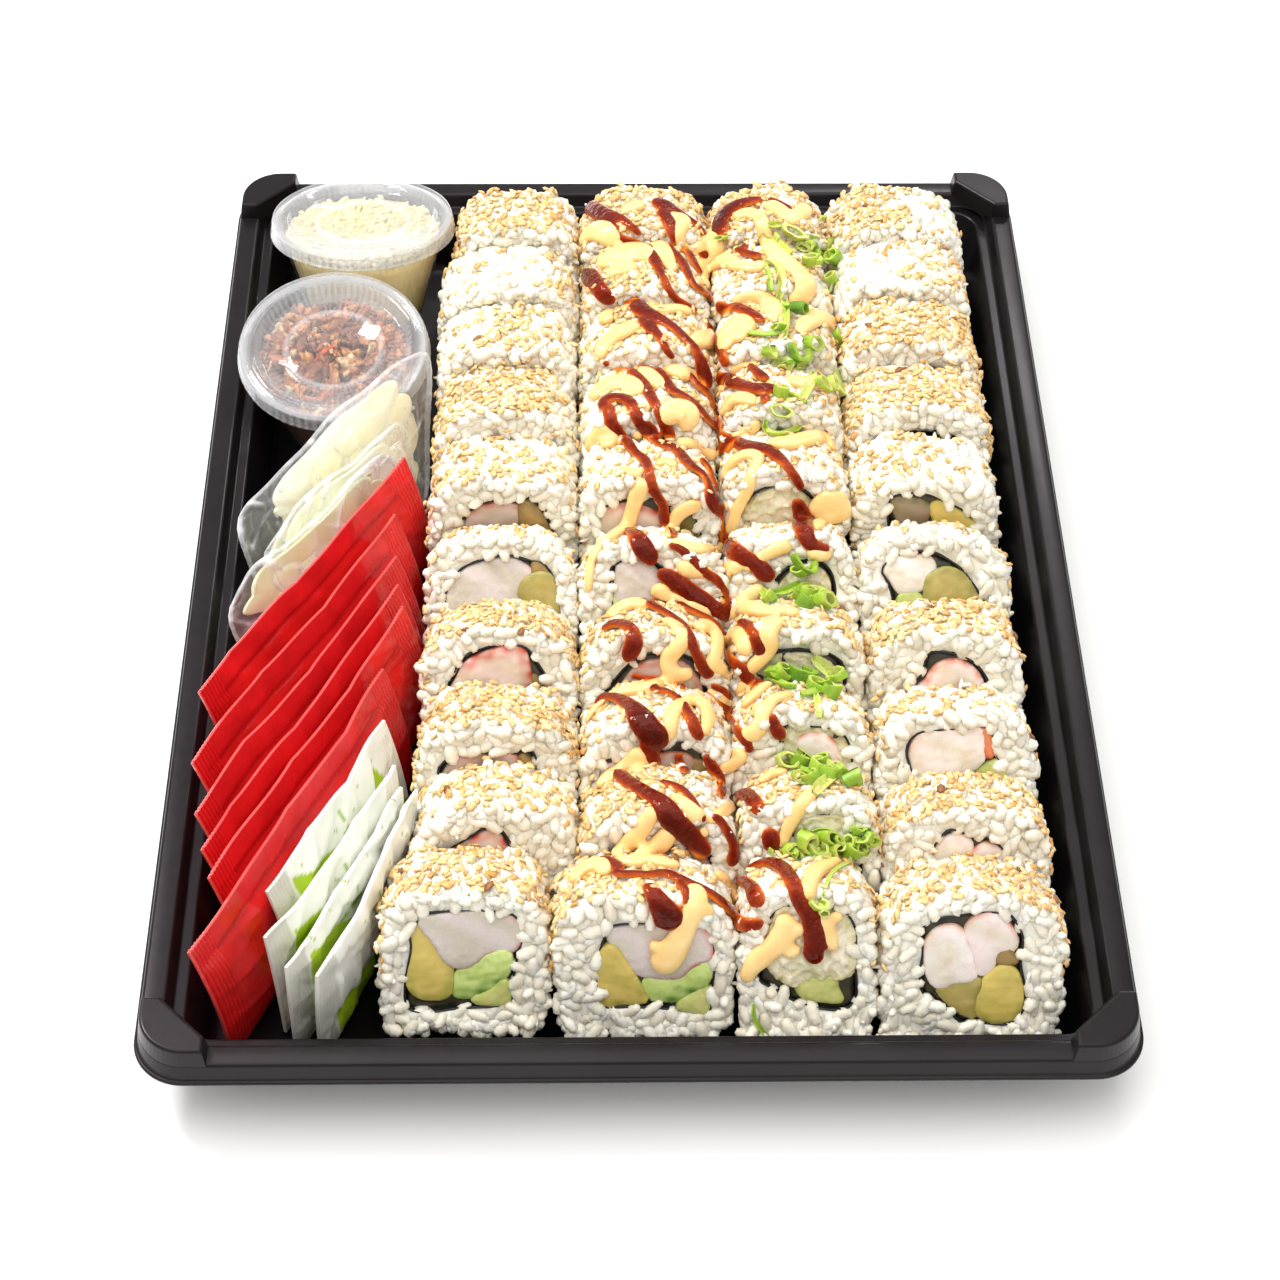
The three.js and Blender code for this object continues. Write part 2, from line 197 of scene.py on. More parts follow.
def frames_about(normals, tilt):
    """Random long axes lying nearly square to the normals, and two more axes to go with each."""
    n = len(normals)
    helper = unit(rng.normal(size=(n, 3)))
    along = unit(np.cross(normals, helper)) + normals * rng.normal(0, tilt, (n, 1))
    along = unit(along)
    side = unit(np.cross(normals, along) + normals * rng.normal(0, tilt * 0.6, (n, 1)))
    return along, side, np.cross(along, side)


# ---- Looks ----------------------------------------------------------------------------------


class Look:
    """A Principled material with short ways to add nodes. Texture space is in millimetres."""

    def __init__(self, name, **inputs):
        self.material = bpy.data.materials.new(name)
        self.material.use_nodes = True
        self.tree = self.material.node_tree
        self.shader = self.tree.nodes["Principled BSDF"]
        self.set(Subsurface_Radius=(1.0, 0.88, 0.7), **inputs)
        place = self.node("TexCoord").outputs["Object"]
        self.place = self.node("VectorMath", {0: place, "Scale": 1000.0}, operation="SCALE").outputs[0]

    def node(self, kind, inputs=None, **settings):
        node = self.tree.nodes.new("ShaderNode" + kind)
        for key, value in settings.items():
            setattr(node, key, value)
        for key, value in (inputs or {}).items():
            self.feed(node.inputs[key], value)
        return node

    def feed(self, socket, value):
        if isinstance(value, bpy.types.NodeSocket):
            self.tree.links.new(value, socket)
        else:
            socket.default_value = value

    def set(self, **inputs):
        for key, value in inputs.items():
            self.feed(self.shader.inputs[key.replace("_", " ")], value)

    def noise(self, per_mm, detail=3.0, squeeze=(1, 1, 1), distortion=0.0):
        stretched = self.node("VectorMath", {0: self.place, 1: squeeze}, operation="MULTIPLY").outputs[0]
        inputs = {"Vector": stretched, "Scale": per_mm, "Detail": detail, "Distortion": distortion}
        return self.node("TexNoise", inputs).outputs["Fac"]

    def cells(self, per_mm):
        return self.node("TexVoronoi", {"Vector": self.place, "Scale": per_mm}).outputs["Distance"]

    def ramp(self, fac, *stops):
        """Colour by value: stops are (position, colour)."""
        node = self.node("ValToRGB", {"Fac": fac})
        band = node.color_ramp
        while len(band.elements) < len(stops):
            band.elements.new(0.5)
        for element, (position, colour) in zip(band.elements, stops):
            element.position = position
            element.color = (*colour, 1)
        return node.outputs["Color"]

    def scale(self, value, low, high):
        return self.node("MapRange", {0: value, 3: low, 4: high}).outputs[0]

    def math(self, operation, *values):
        inputs = dict(enumerate(values))
        return self.node("Math", inputs, operation=operation, use_clamp=operation != "POWER").outputs[0]

    def bump(self, height, distance, strength=1.0):
        inputs = {"Height": height, "Distance": distance / 1000, "Strength": strength}
        self.set(Normal=self.node("Bump", inputs).outputs[0])


def srgb(*colour):
    """Linear colour from 8-bit display values."""
    shares = (value / 255 for value in colour)
    return tuple(c / 12.92 if c <= 0.04045 else ((c + 0.055) / 1.055) ** 2.4 for c in shares)


def inner_light(weight, reach):
    """Inputs for light that goes up to a reach in millimetres under the surface."""
    return {"Subsurface_Weight": weight, "Subsurface_Scale": reach / 1000}


FILLING_LIGHT = inner_light(0.25, 1.5)
# Noise is given by its scale per mm and its detail. A relief has noise or, as a bare number, the
# scale of cells, then its height in mm and its strength. Roughness by noise has the noise and a range.
# Looks coloured all over by noise: the noise, its two colour stops, roughness, relief and inputs.
PLAIN_LOOKS = {
    "rice_core": ((0.35, 4), (0.3, (240, 232, 212)), (0.6, (254, 249, 236)), None, (0.36, 0.6, 0.6),
                  {"Roughness": 0.34, **inner_light(0.4, 1.5)}),
    "nori": ((0.8, 5), (0.35, (9, 12, 9)), (0.7, (30, 34, 24)), None, ((1.2, 5), 0.3, 0.8),
             {"Roughness": 0.38, "Specular_IOR_Level": 0.5}),
    "tray_plastic": ((0.05, 3), (0.3, (16, 14, 16)), (0.7, (23, 20, 22)), ((0.35, 4), 0.24, 0.4),
                     ((0.12, 4), 0.25, 0.25),
                     {"Specular_IOR_Level": 0.23, "Coat_Weight": 0.06, "Coat_Roughness": 0.12,
                      "Specular_Tint": (1.0, 0.86, 0.9, 1)}),
    "floor": ((0.01, 2), (0.3, (250, 250, 250)), (0.7, (253, 253, 253)), None, None, {"Roughness": 0.8}),
}
# Looks coloured by each piece's own tint, made uneven: the noise, the dark stop that it multiplies with
# and where that has faded out, roughness, relief and inputs.
TINTED_LOOKS = {
    "rice": ((0.45, 3), (0.3, (0.93, 0.9, 0.85)), 0.62, ((1.1, 2), 0.2, 0.42), ((1.8, 3), 0.08, 0.5),
             {"IOR": 1.42, **inner_light(0.4, 1)}),
    "sesame": ((1.3, 3), (0.32, (0.72, 0.62, 0.5)), 0.6, None, ((3.2, 2), 0.08, 0.5),
               {"Roughness": 0.42, **inner_light(0.12, 0.8)}),
    "mayo": ((0.18, 3), (0.35, (0.93, 0.86, 0.72)), 0.65, ((0.6, 2), 0.22, 0.4), ((0.5, 3), 0.2, 0.4),
             {"Coat_Weight": 0.3, "Coat_Roughness": 0.15, **inner_light(0.5, 1.2)}),
    "eel_sauce": ((0.25, 3), (0.35, (0.7, 0.55, 0.5)), 0.62, ((0.5, 2), 0.05, 0.13), ((0.5, 2), 0.7, 0.7),
                  {"Specular_IOR_Level": 0.3, "Specular_Tint": (1.0, 0.64, 0.54, 1)}),
    "scallion": ((1.2, 3, (1, 1, 0.3)), (0.3, (0.8, 0.86, 0.7)), 0.6, ((0.9, 2), 0.18, 0.42),
                 ((2.4, 2, (1, 1, 0.25)), 0.1, 0.6), inner_light(0.35, 1.2)),
    "gratings": ((0.5, 3), (0.3, (0.98, 0.92, 0.78)), 0.6, ((0.8, 2), 0.25, 0.5), ((1.4, 3), 0.15, 0.5),
                 inner_light(0.4, 1.5)),
    "crumbs": ((0.7, 4), (0.28, (0.5, 0.36, 0.26)), 0.62, ((0.9, 3), 0.3, 0.65), ((1.3, 4), 0.5, 0.8),
               inner_light(0.1, 1)),
    "red_film": ((0.12, 4), (0.3, (0.82, 0.72, 0.72)), 0.65, ((0.4, 3), 0.16, 0.34), ((0.35, 4), 0.35, 0.6),
                 {"Specular_IOR_Level": 0.22, "Coat_Weight": 0.35, "Coat_Roughness": 0.05}),
    "paper": ((0.15, 4), (0.3, (0.93, 0.93, 0.9)), 0.65, ((0.5, 3), 0.45, 0.65), ((0.4, 5), 0.3, 0.6),
              inner_light(0.15, 1)),
    "ginger": ((0.12, 3, (1, 1.6, 1)), (0.3, (0.97, 0.94, 0.8)), 0.6, ((0.6, 2), 0.2, 0.42),
               ((0.8, 3, (0.4, 2.0, 1)), 0.12, 0.4), inner_light(0.25, 1)),
    "avocado": ((0.25, 4, (1, 1, 1), 0.4), (0.3, (0.88, 0.86, 0.7)), 0.65, None, ((0.9, 4), 0.12, 0.5),
                FILLING_LIGHT),
    "crab": ((0.3, 4), (0.25, (0.93, 0.91, 0.89)), 0.7, None, ((1.3, 3), 0.08, 0.5), FILLING_LIGHT),
    "cucumber": ((0.7, 3), (0.3, (0.84, 0.92, 0.72)), 0.62, None, (0.7, 0.15, 0.4), FILLING_LIGHT),
    "tempura": ((0.45, 5), (0.3, (0.86, 0.8, 0.62)), 0.6, None, ((0.7, 5), 0.9, 0.8), FILLING_LIGHT),
    "soft": ((0.3, 3), (0.28, (0.95, 0.87, 0.82)), 0.55, None, ((0.6, 4), 0.18, 0.5), FILLING_LIGHT),
}
SESAME_SHARE = 0.6


def finished(look, rough, relief):
    """The look's material, with roughness by noise and relief where there are any."""
    if rough:
        grain, *reach = rough
        look.set(Roughness=look.scale(look.noise(*grain), *reach))
    if relief:
        grain, height, strength = relief
        look.bump(look.noise(*grain) if isinstance(grain, tuple) else look.cells(grain), height, strength)
    return look.material


def plain_look(name):
    grain, *stops, rough, relief, inputs = PLAIN_LOOKS[name]
    look = Look(name, **inputs)
    look.set(Base_Color=look.ramp(look.noise(*grain), *((at, srgb(*colour)) for at, colour in stops)))
    return finished(look, rough, relief)


def tinted_look(kind, name=None, rough=None, share=1.0):
    """A look of a kind in the table, with another name or roughness where they are given."""
    grain, dark, fades, usual, relief, inputs = TINTED_LOOKS[kind]
    look = Look(name or kind, **inputs)
    shade = look.ramp(look.noise(*grain), dark, (fades, (1, 1, 1)))
    tint = look.node("Attribute", attribute_name="tint").outputs["Color"]
    mix = look.node("Mix", {0: share, 6: tint, 7: shade}, data_type="RGBA", blend_type="MULTIPLY")
    look.set(Base_Color=mix.outputs[2])
    return finished(look, rough or usual, relief)


def clear_look(name, power, least):
    """Thin clear plastic: see-through, glossy towards grazing and milky white where its tint says so; the
    milky white is the plastic's haze and also painted highlight.
    """
    look = Look(name, Roughness=0.06, Base_Color=(0.9, 0.91, 0.93, 1), Metallic=1.0)
    through = look.node("BsdfTransparent").outputs[0]
    rise = look.math("POWER", look.node("LayerWeight", {"Blend": 0.5}).outputs["Facing"], power)
    share = look.math("MULTIPLY_ADD", rise, 0.9, least)
    glossy = look.node("MixShader", {0: share, 1: through, 2: look.shader.outputs[0]}).outputs[0]
    mist = look.node("Attribute", attribute_name="tint").outputs["Fac"]
    cloud = look.math("MULTIPLY", mist, look.scale(look.noise(0.3, 3), 0.6, 1.4))
    milk = look.node("BsdfDiffuse", {"Color": (0.86, 0.86, 0.88, 1)}).outputs[0]
    both = look.node("MixShader", {0: cloud, 1: glossy, 2: milk}).outputs[0]
    look.feed(look.tree.nodes["Material Output"].inputs["Surface"], both)
    return finished(look, None, ((0.25, 3), 0.12, 0.4))


# ---- Tray -----------------------------------------------------------------------------------

TRAY_HALF = np.array([128.0, 175.0])
LIP_RADIUS = 13.5
CORNER_STEPS = 14
FILLET_STEPS = 4
# The section from the floor, over the band and down to the lip, then back underneath:
# inset, height and fillet radius.
TRAY_SECTION = [
    (18.2, 1.0, 1.2), (16.2, 2.4, 1.2), (12.6, 21.7, 0.8), (9.3, 21.7, 0.6), (7.8, 26, 0.9), (1.7, 26, 1.1),
    (1.0, 20.5, 0.5), (0.1, 20.3, 0.3), (0.0, 19.5, 0.2), (1.9, 19.5, 0.3), (2.7, 25, 0.5), (7.2, 25, 0.5),
    (8.7, 20.7, 0.5), (11.8, 20.7, 0.5), (15.2, 1.4, 0.6), (17.7, 0.0, 0.6),
]
PAD_ALONG = 20.0
PAD_TOP = 31.0
# Shrink and height of a pad's rings.
PAD_LEVELS = [(0.0, 25.4), (0.75, PAD_TOP - 0.5), (1.25, PAD_TOP)]


def rounded(section):
    """A polyline with each inner corner replaced by a short curve."""
    points = [np.array(section[0][:2], float)]
    for before, (x, z, radius), after in zip(section, section[1:], section[2:]):
        here = np.array([x, z], float)
        a, b = (here + d / np.linalg.norm(d) * min(radius, np.linalg.norm(d) * 0.45)
                for d in (np.array(other[:2]) - here for other in (before, after)))
        for t in np.linspace(0, 1, FILLET_STEPS):
            points.append((1 - t) ** 2 * a + 2 * t * (1 - t) * here + t ** 2 * b)
    return points + [np.array(section[-1][:2], float)]


def tray_ring(inset, z):
    radius = max(LIP_RADIUS - inset * 0.45, 6)
    half = TRAY_HALF - inset
    ring = []
    for corner in range(4):
        sign = np.array([1 if corner in (0, 3) else -1, 1 if corner < 2 else -1])
        for step in range(CORNER_STEPS + 1):
            angle = (corner + step / CORNER_STEPS) * math.pi / 2
            xy = sign * (half - radius) + radius * np.array([math.cos(angle), math.sin(angle)])
            ring.append([*xy, z])
    return ring


def pad_outline(shrink):
    outer = TRAY_HALF - 1.7 - shrink
    inner = TRAY_HALF - 8.1 + shrink
    end = TRAY_HALF - PAD_ALONG + shrink
    radius = LIP_RADIUS - 0.8 - shrink
    points = [[end[0], inner[1]], [inner[0], end[1]], [outer[0], end[1]]]
    for step in range(CORNER_STEPS + 1):
        angle = step / CORNER_STEPS * math.pi / 2
        points.append([outer[0] - radius * (1 - math.cos(angle)), outer[1] - radius * (1 - math.sin(angle))])
    return np.array(points + [[end[0], outer[1]]])


def build_tray(look):
    rings = [tray_ring(inset, z) for inset, z in rounded(TRAY_SECTION)]
    faces = tube_faces(len(rings), len(rings[0]), -1)
    make_piece("tray_sheet", rings, faces, look, "black_plastic", ["tray"])
    for number, (sx, sy) in enumerate([(-1, 1), (1, 1), (-1, -1), (1, -1)], 1):
        rings = [np.column_stack([line * (sx, sy), np.full(len(line), z)])
                 for line, z in ((pad_outline(shrink), z) for shrink, z in PAD_LEVELS)]
        faces = tube_faces(len(rings), len(rings[0]))[:-1]
        if sx * sy < 0:
            faces = [f[::-1] for f in faces]
        pad = make_piece(f"tray_pad_{number}", rings, faces, look, "black_plastic", smooth=False)
        modify(pad, "BEVEL", width=0.0004, segments=2, limit_method="ANGLE", angle_limit=math.radians(25))


# ---- Roll slices ----------------------------------------------------------------------------

REST_Z = 1.4
ROLL_HEIGHT = 41.5
MID_HEIGHT = ROLL_HEIGHT / 2
ROLL_GAP = 0.4
ROUNDING = 2.4
FRONT_ROW = 9
ROW_THICKNESS = [26.8, 26.8, 27.6, 27.5, 26.6, 24.2, 25.2, 25.6, 24.8, 24.6]
# How far down its cut face a slice of each row can be seen past the one in front.
SHOWN_DOWN_TO = [25, 25, 25, 22, 10, 12, 12, 8, 10, 0]
# Column: x, width, first foot, slack, leans in degrees, and places of the end slices where they differ.
COLUMNS = {
    "a": (-37.2, 42.4, 142.0, 0.0, [11, 10, 12, 14, 15, 39, 30, 24, 24, 25],
          {0: (-35.3, 38.2), 9: (-44.6, 43.2)}),
    "b": (5.1, 40.4, 144.0, 0.35, [9, 11, 12, 15, 18, 38, 28, 25, 24, 24], {9: (1.1, 46.2)}),
    "c": (44.7, 37.2, 143.5, 0.0, [11, 11, 13, 15, 18, 38, 28, 32, 31, 31], {9: (42.7, 35.4)}),
    "d": (85.6, 42.6, 144.5, 0.0, [9, 10, 12, 15, 13, 40, 27, 33, 28, 28], {9: (84.6, 47.0)}),
}


class Roll:
    """One slice: u to the right of its middle, v up from its foot, w from its back to its cut face."""

    def __init__(self, column, row, x, width, foot, lean):
        self.name = f"{column}{row + 1:02d}"
        self.column, self.row, self.x, self.width, self.foot, self.lean = column, row, x, width, foot, lean
        self.thick = ROW_THICKNESS[row]
        self.sin, self.cos = math.sin(lean), math.cos(lean)
        self.phase = rng.uniform(0, 6.28, 6)

    def world(self, u, v, w):
        u, v, w = np.broadcast_arrays(u, v, w)
        return np.stack([self.x + u, self.foot + v * self.sin - w * self.cos,
                         REST_Z + v * self.cos + w * self.sin], -1)

    def turn(self, u, v, w):
        """A direction, in the same axes."""
        u, v, w = np.broadcast_arrays(u, v, w)
        return np.stack([u, v * self.sin - w * self.cos, v * self.cos + w * self.sin], -1)

    def local(self, points):
        """The u, v and w of points in the world."""
        x, y, z = (points - [self.x, self.foot, REST_Z]).T
        return x, y * self.sin + z * self.cos, -y * self.cos + z * self.sin

    def face(self, side):
        """The w of the front cut face, or of the back one."""
        return self.thick if side > 0 else 0.0

    def outline(self, angle, inset=0.0):
        """Outer outline at an angle from +u, with the slice's own unevenness."""
        cos, sin = np.cos(angle), np.sin(angle)
        power = np.where(sin > 0, 3.1, 7.0)
        reach = (np.abs(cos) ** power + np.abs(sin) ** power) ** (-1 / power)
        wave = 0.5 * np.sin(2 * angle + self.phase[0]) + 0.4 * np.sin(5 * angle + self.phase[1])
        half_u = self.width / 2 - inset - 0.25 + wave * 0.45
        half_v = MID_HEIGHT - inset - 0.25 + wave * 0.75
        return half_u * reach * cos, MID_HEIGHT + half_v * reach * sin

    def face_hit(self, px, py):
        """Where the camera's ray through a pixel meets the plane of the cut face, as (u, v)."""
        origin = self.world(0, 0, self.thick)
        normal = self.turn(0, 0, 1)
        d = ray(px, py)
        hit = CAMERA_AT + d * (np.dot(origin - CAMERA_AT, normal) / np.dot(d, normal)) - origin
        return hit[0], np.dot(hit, self.turn(0, 1, 0))


def foot_spacing(back, front, thick):
    if front >= back:
        return (thick + ROLL_GAP + ROLL_HEIGHT * math.sin(front - back)) / math.cos(back)
    return thick * math.cos(back) + (ROLL_GAP + thick * math.sin(back) * math.sin(front)) / math.cos(front)


def lay_rolls():
    rolls = []
    for column, (x, width, foot, slack, leans, ends) in COLUMNS.items():
        for row, lean in enumerate(map(math.radians, leans)):
            if row:
                foot -= foot_spacing(rolls[-1].lean, lean, ROW_THICKNESS[row - 1]) + slack
            rolls.append(Roll(column, row, *ends.get(row, (x, width)), foot, lean))
    return rolls


ROLLS = lay_rolls()

# The cut faces that can be seen: the hollow's outline, then each filling's kind and outline, all in
# pixels of the 1280 frame. The other faces have PLAIN_HOLLOW and the PLAIN_FACES of their column, in
# millimetres of u and v.
FACES = {
    "a05": """hollow 460,535 463,520 475,508 495,502 520,503 535,497 545,510 552,530 556,545 550,575 510,590
        470,575; crab_grey 466,535 470,518 485,508 505,505 520,510 522,525 515,550 490,560 470,548;
        avocado_dull 521,505 532,506 543,520 552,540 548,560 525,560 521,535""",
    "a06": """hollow 440,612 447,590 460,570 480,561 505,555 525,560 545,564 563,575 575,595 572,610 570,640
        550,665 490,670 445,650; crab 447,615 450,592 460,575 480,564 510,560 530,570 531,578 520,592
        516,615 500,640 465,645; avocado_green 520,592 530,577 545,574 560,582 567,597 565,620 550,632
        530,625; avocado_dull 534,563 545,565 557,573 545,573 534,573""",
    "a07": """hollow 433,702 450,680 465,657 500,645 525,648 540,668 553,690 562,720 545,750 490,765 445,745
        432,720; crab_red 445,705 458,680 468,663 500,650 522,650 528,668 530,690 520,725 450,728;
        avocado_dull 531,678 545,690 552,708 545,733 531,728""",
    "a08": """hollow 428,792 434,775 445,762 455,757 480,754 515,755 525,747 534,755 540,775 541,800 530,830
        480,840 440,830 428,808; crab_grey 440,788 450,767 465,758 500,757 516,759 519,778 512,805 460,812
        440,805; avocado_dull 520,759 530,763 537,780 536,803 521,803""",
    "a09": """hollow 428,862 450,850 470,838 488,827 500,830 512,845 522,856 530,880 520,905 480,915 440,905
        425,880; crab_red 455,852 470,843 488,834 498,837 505,850 510,865 505,893 450,897 440,872""",
    "a10": """hollow 409,922 440,913 500,913 534,919 521,945 514,975 510,1003 470,1009 412,1012 405,985
        411,950; crab 421,921 470,915 500,917 530,921 525,933 514,952 490,954 472,966 457,967 445,960
        434,942; avocado 418,926 427,930 440,950 450,968 452,985 447,997 430,1000 413,994 407,978 411,950
        413,932; cucumber 477,961 490,955 507,953 511,965 501,984 486,993 470,999 455,998 452,988 457,976
        465,968; pale_green 490,993 503,982 508,988 507,1004 482,1005 473,1001""",
    "b05": """hollow 596,530 592,515 605,508 625,501 650,500 675,505 695,520 701,540 698,560 660,575 615,565
        600,548; crab_red 595,521 610,511 630,506 650,512 664,520 657,537 640,550 607,550; avocado_dark
        672,532 680,519 693,520 700,542 690,560 675,556""",
    "b06": """hollow 612,600 610,570 615,557 640,555 660,566 690,585 696,620 680,650 640,660 615,640; crab
        617,575 621,563 640,562 655,570 663,590 652,615 628,612 617,597; cucumber 615,597 621,593 628,605
        624,617 615,612""",
    "b07": """hollow 600,700 615,680 640,657 670,653 700,658 716,680 722,710 700,740 640,745 605,725;
        crab_grey 620,697 640,667 680,663 700,690 690,722 630,725""",
    "b08": """hollow 592,778 594,763 620,760 650,750 690,744 712,770 717,800 700,825 640,830 600,808;
        crab_grey 596,772 620,764 645,759 688,758 694,790 640,803 602,792; avocado_dull 691,765 708,770
        711,800 696,806""",
    "b09": """hollow 582,868 600,856 650,848 700,852 721,870 723,890 700,915 640,920 590,902; crab_grey
        600,864 650,853 700,858 706,890 620,900""",
    "b10": """hollow 604,940 612,927 650,925 700,925 735,933 726,955 717,975 716,1016 690,1013 640,1008
        600,1008 597,985 599,957; crab 609,941 613,932 650,928 700,927 730,934 722,950 712,958 690,968
        680,978 668,979 645,978 635,973 625,961 614,951; avocado 611,947 620,956 632,975 643,995 645,1003
        620,1006 603,1005 598,985 598,967 603,952; cucumber 649,980 665,982 681,980 691,972 705,963 711,975
        705,988 691,994 681,1002 660,1003 646,998 644,986; pale_green 695,995 710,990 715,1001 713,1016
        690,1012 678,1007""",
    "c05": """hollow 740,522 744,503 760,491 785,487 805,491 820,510 827,535 815,560 780,572 750,562
        740,542; tempura 743,522 749,505 765,494 785,490 803,497 815,512 818,535 805,556 775,564 750,552;
        shrimp_pale 752,523 760,508 780,505 795,512 797,530 782,541 760,540""",
    "c06": """hollow 772,588 785,570 805,560 824,564 834,580 834,602 820,627 790,637 772,615; tempura
        778,592 800,568 822,572 829,590 822,615 795,622 780,612""",
    "c07": """hollow 745,682 758,656 800,650 836,658 850,685 847,717 820,737 780,737 750,717; tempura
        756,685 768,662 800,656 830,665 842,690 838,712 800,726 765,718""",
    "c08": """hollow 780,742 785,725 800,719 820,716 840,728 855,741 860,760 853,775 857,788 840,812 800,817
        778,792; tempura 784,745 792,727 820,721 842,735 854,755 848,778 842,800 805,808 785,788;
        shrimp_pink 797,748 805,737 825,737 836,750 832,768 810,772 799,762""",
    "c09": """hollow 790,822 800,806 830,799 860,804 876,825 879,850 860,877 820,882 790,862; tempura
        797,825 808,810 835,805 858,811 870,830 868,855 845,870 805,865""",
    "c10": """hollow 790,893 830,884 857,891 870,915 875,945 868,980 846,1010 800,1004 775,990 757,978
        763,950 772,915; tempura 785,905 830,888 855,895 866,915 870,945 858,970 838,978 812,978 795,986
        772,972 768,950 776,920; pale_green 797,987 805,982 834,980 837,990 841,1003 815,1001 802,997""",
    "d05": """hollow 888,520 891,500 905,495 925,495 945,503 966,514 979,535 976,560 940,577 900,562;
        shrimp_grey 893,502 910,500 930,508 928,520 916,537 905,534 897,518; avocado 932,507 945,505 965,517
        976,530 968,548 945,545 935,522""",
    "d06": """hollow 873,562 885,555 905,555 925,551 945,558 962,570 977,590 989,615 980,645 940,660 897,640
        893,600 885,577; shrimp 881,567 895,559 925,557 935,566 931,581 917,592 901,593 890,578;
        avocado_green 926,592 929,577 945,569 960,573 972,586 978,605 965,622 937,617 927,603; pale_green
        899,599 915,594 925,602 935,612 930,630 900,628""",
    "d07": """hollow 882,717 890,700 920,678 930,654 960,656 982,671 994,700 997,722 985,745 940,762
        895,747; shrimp_pink 888,717 900,699 925,684 936,668 955,662 975,672 984,692 978,715 935,735
        897,735; avocado_dull 983,690 991,697 994,716 984,718""",
    "d08": """hollow 907,755 911,740 930,723 945,713 962,718 987,723 994,740 998,758 1008,785 1006,812
        960,827 920,812 915,782; shrimp 911,756 917,740 935,727 950,720 970,722 983,735 984,758 972,771
        957,783 940,800 922,798 916,780; pale_green 971,782 985,767 1000,763 1006,780 1005,800 985,806
        970,797; shrimp_orange 979,727 987,730 993,745 991,757 985,752""",
    "d09": """hollow 930,864 936,845 950,831 970,836 990,840 1006,853 1014,866 1017,890 990,915 950,917
        930,897; shrimp 935,864 940,846 955,837 971,844 969,862 952,880 937,877; shrimp_pink 967,862 985,846
        1000,851 1009,864 995,880 972,877""",
    "d10": """hollow 923,930 935,920 960,917 985,911 1005,912 1016,923 1024,940 1021,965 1027,1000 1016,1021
        990,1029 965,1026 945,1009 924,996 920,975 923,955; shrimp 928,942 940,930 958,929 968,945 973,965
        974,980 955,983 940,988 930,980 926,960; shrimp_pink 966,935 972,922 985,916 1000,916 1011,930
        1018,945 1010,956 999,956 993,971 983,977 977,970 972,950; avocado 1005,968 1018,976 1022,995
        1018,1015 1000,1023 985,1020 976,1010 980,990 990,977; avocado_green 938,988 955,985 975,981 981,985
        977,1000 975,1018 960,1013 945,1000; avocado_dull 998,961 1006,948 1013,956 1018,963 1004,967""",
}
PLAIN_HOLLOW = "-13,11 -12,29 -4,32.5 8,32 13,27 13,11 8,7.5 -8,7.5"
PLAIN_FACES = {
    "a": """crab -11,30 9,31 11,27 4,20 -5,19; avocado -11.5,26 -6,18 -4,10 -11,9 -12,18;
        cucumber -2,18 6,19 11,24 11,10 2,9 -3,12""",
    "c": "tempura -11,22 -6,30 6,30 11,22 8,12 -3,9 -10,13",
    "d": """shrimp -11,26 -5,31 3,30 4,20 -6,18 -11,20; avocado 3,17 6,27 11,24 12,12 4,9;
        pale_green -11,16 -3,16 2,13 1,9 -9,9""",
}
PLAIN_FACES["b"] = PLAIN_FACES["a"]


def cubic(before, p, after, beyond, t):
    """A smooth curve from p to after."""
    return 0.5 * (2 * p + (after - before) * t + (2 * before - 5 * p + 4 * after - beyond) * t ** 2
                  + (3 * p - before - 3 * after + beyond) * t ** 3)


def smooth_loop(points, per_side=6):
    """A closed curve through the points."""
    p = np.asarray(points, float)[:, None]
    t = (np.arange(per_side) / per_side)[None, :, None]
    return cubic(np.roll(p, 1, 0), p, np.roll(p, -1, 0), np.roll(p, -2, 0), t).reshape(-1, 2)


def resample(loop, count):
    """The same closed outline, anticlockwise at evenly spaced points, starting on its +u side."""
    x, y = loop.T
    if np.sum(x * np.roll(y, -1) - np.roll(x, -1) * y) <= 0:
        loop = loop[::-1]
    start = np.argmax(loop[:, 0] - np.abs(loop[:, 1] - loop[:, 1].mean()) * 0.5)
    loop = np.roll(loop, -start, 0)
    closed = np.vstack([loop, loop[:1]])
    length = np.concatenate([[0], np.cumsum(np.hypot(*np.diff(closed, axis=0).T))])
    at = np.linspace(0, length[-1], count, endpoint=False)
    return np.column_stack([np.interp(at, length, closed[:, i]) for i in (0, 1)])


def within(points, loop):
    """Which points lie inside a closed outline."""
    x, y = points[:, :1], points[:, 1:]
    x0, y0 = loop.T
    x1, y1 = np.roll(loop, -1, 0).T
    crosses = (y0 > y) != (y1 > y)
    meets = x0 + (y - y0) * (x1 - x0) / np.where(y1 == y0, 1e-9, y1 - y0)
    return np.sum(crosses & (x < meets), 1) % 2 == 1


def grow(loop, reach):
    """An outline moved outwards, or inwards when reach is negative."""
    tangent = unit(np.roll(loop, -1, 0) - np.roll(loop, 1, 0))
    return loop + np.column_stack([tangent[:, 1], -tangent[:, 0]]) * reach


def held_in(roll, loop, inset):
    """An outline pulled in where it would come too near the slice's own edge."""
    middle = np.array([0, MID_HEIGHT])
    out = loop - middle
    turns = np.linspace(-math.pi, math.pi, 721)
    u, v = roll.outline(turns)
    heading = np.unwrap(np.arctan2(v - MID_HEIGHT, u))
    angle = np.interp(np.arctan2(out[:, 1], out[:, 0]), heading, turns)
    limit = np.column_stack(roll.outline(angle, inset)) - middle
    reach, most = np.hypot(*out.T), np.hypot(*limit.T)
    return middle + out * np.minimum(1, most / reach)[:, None]


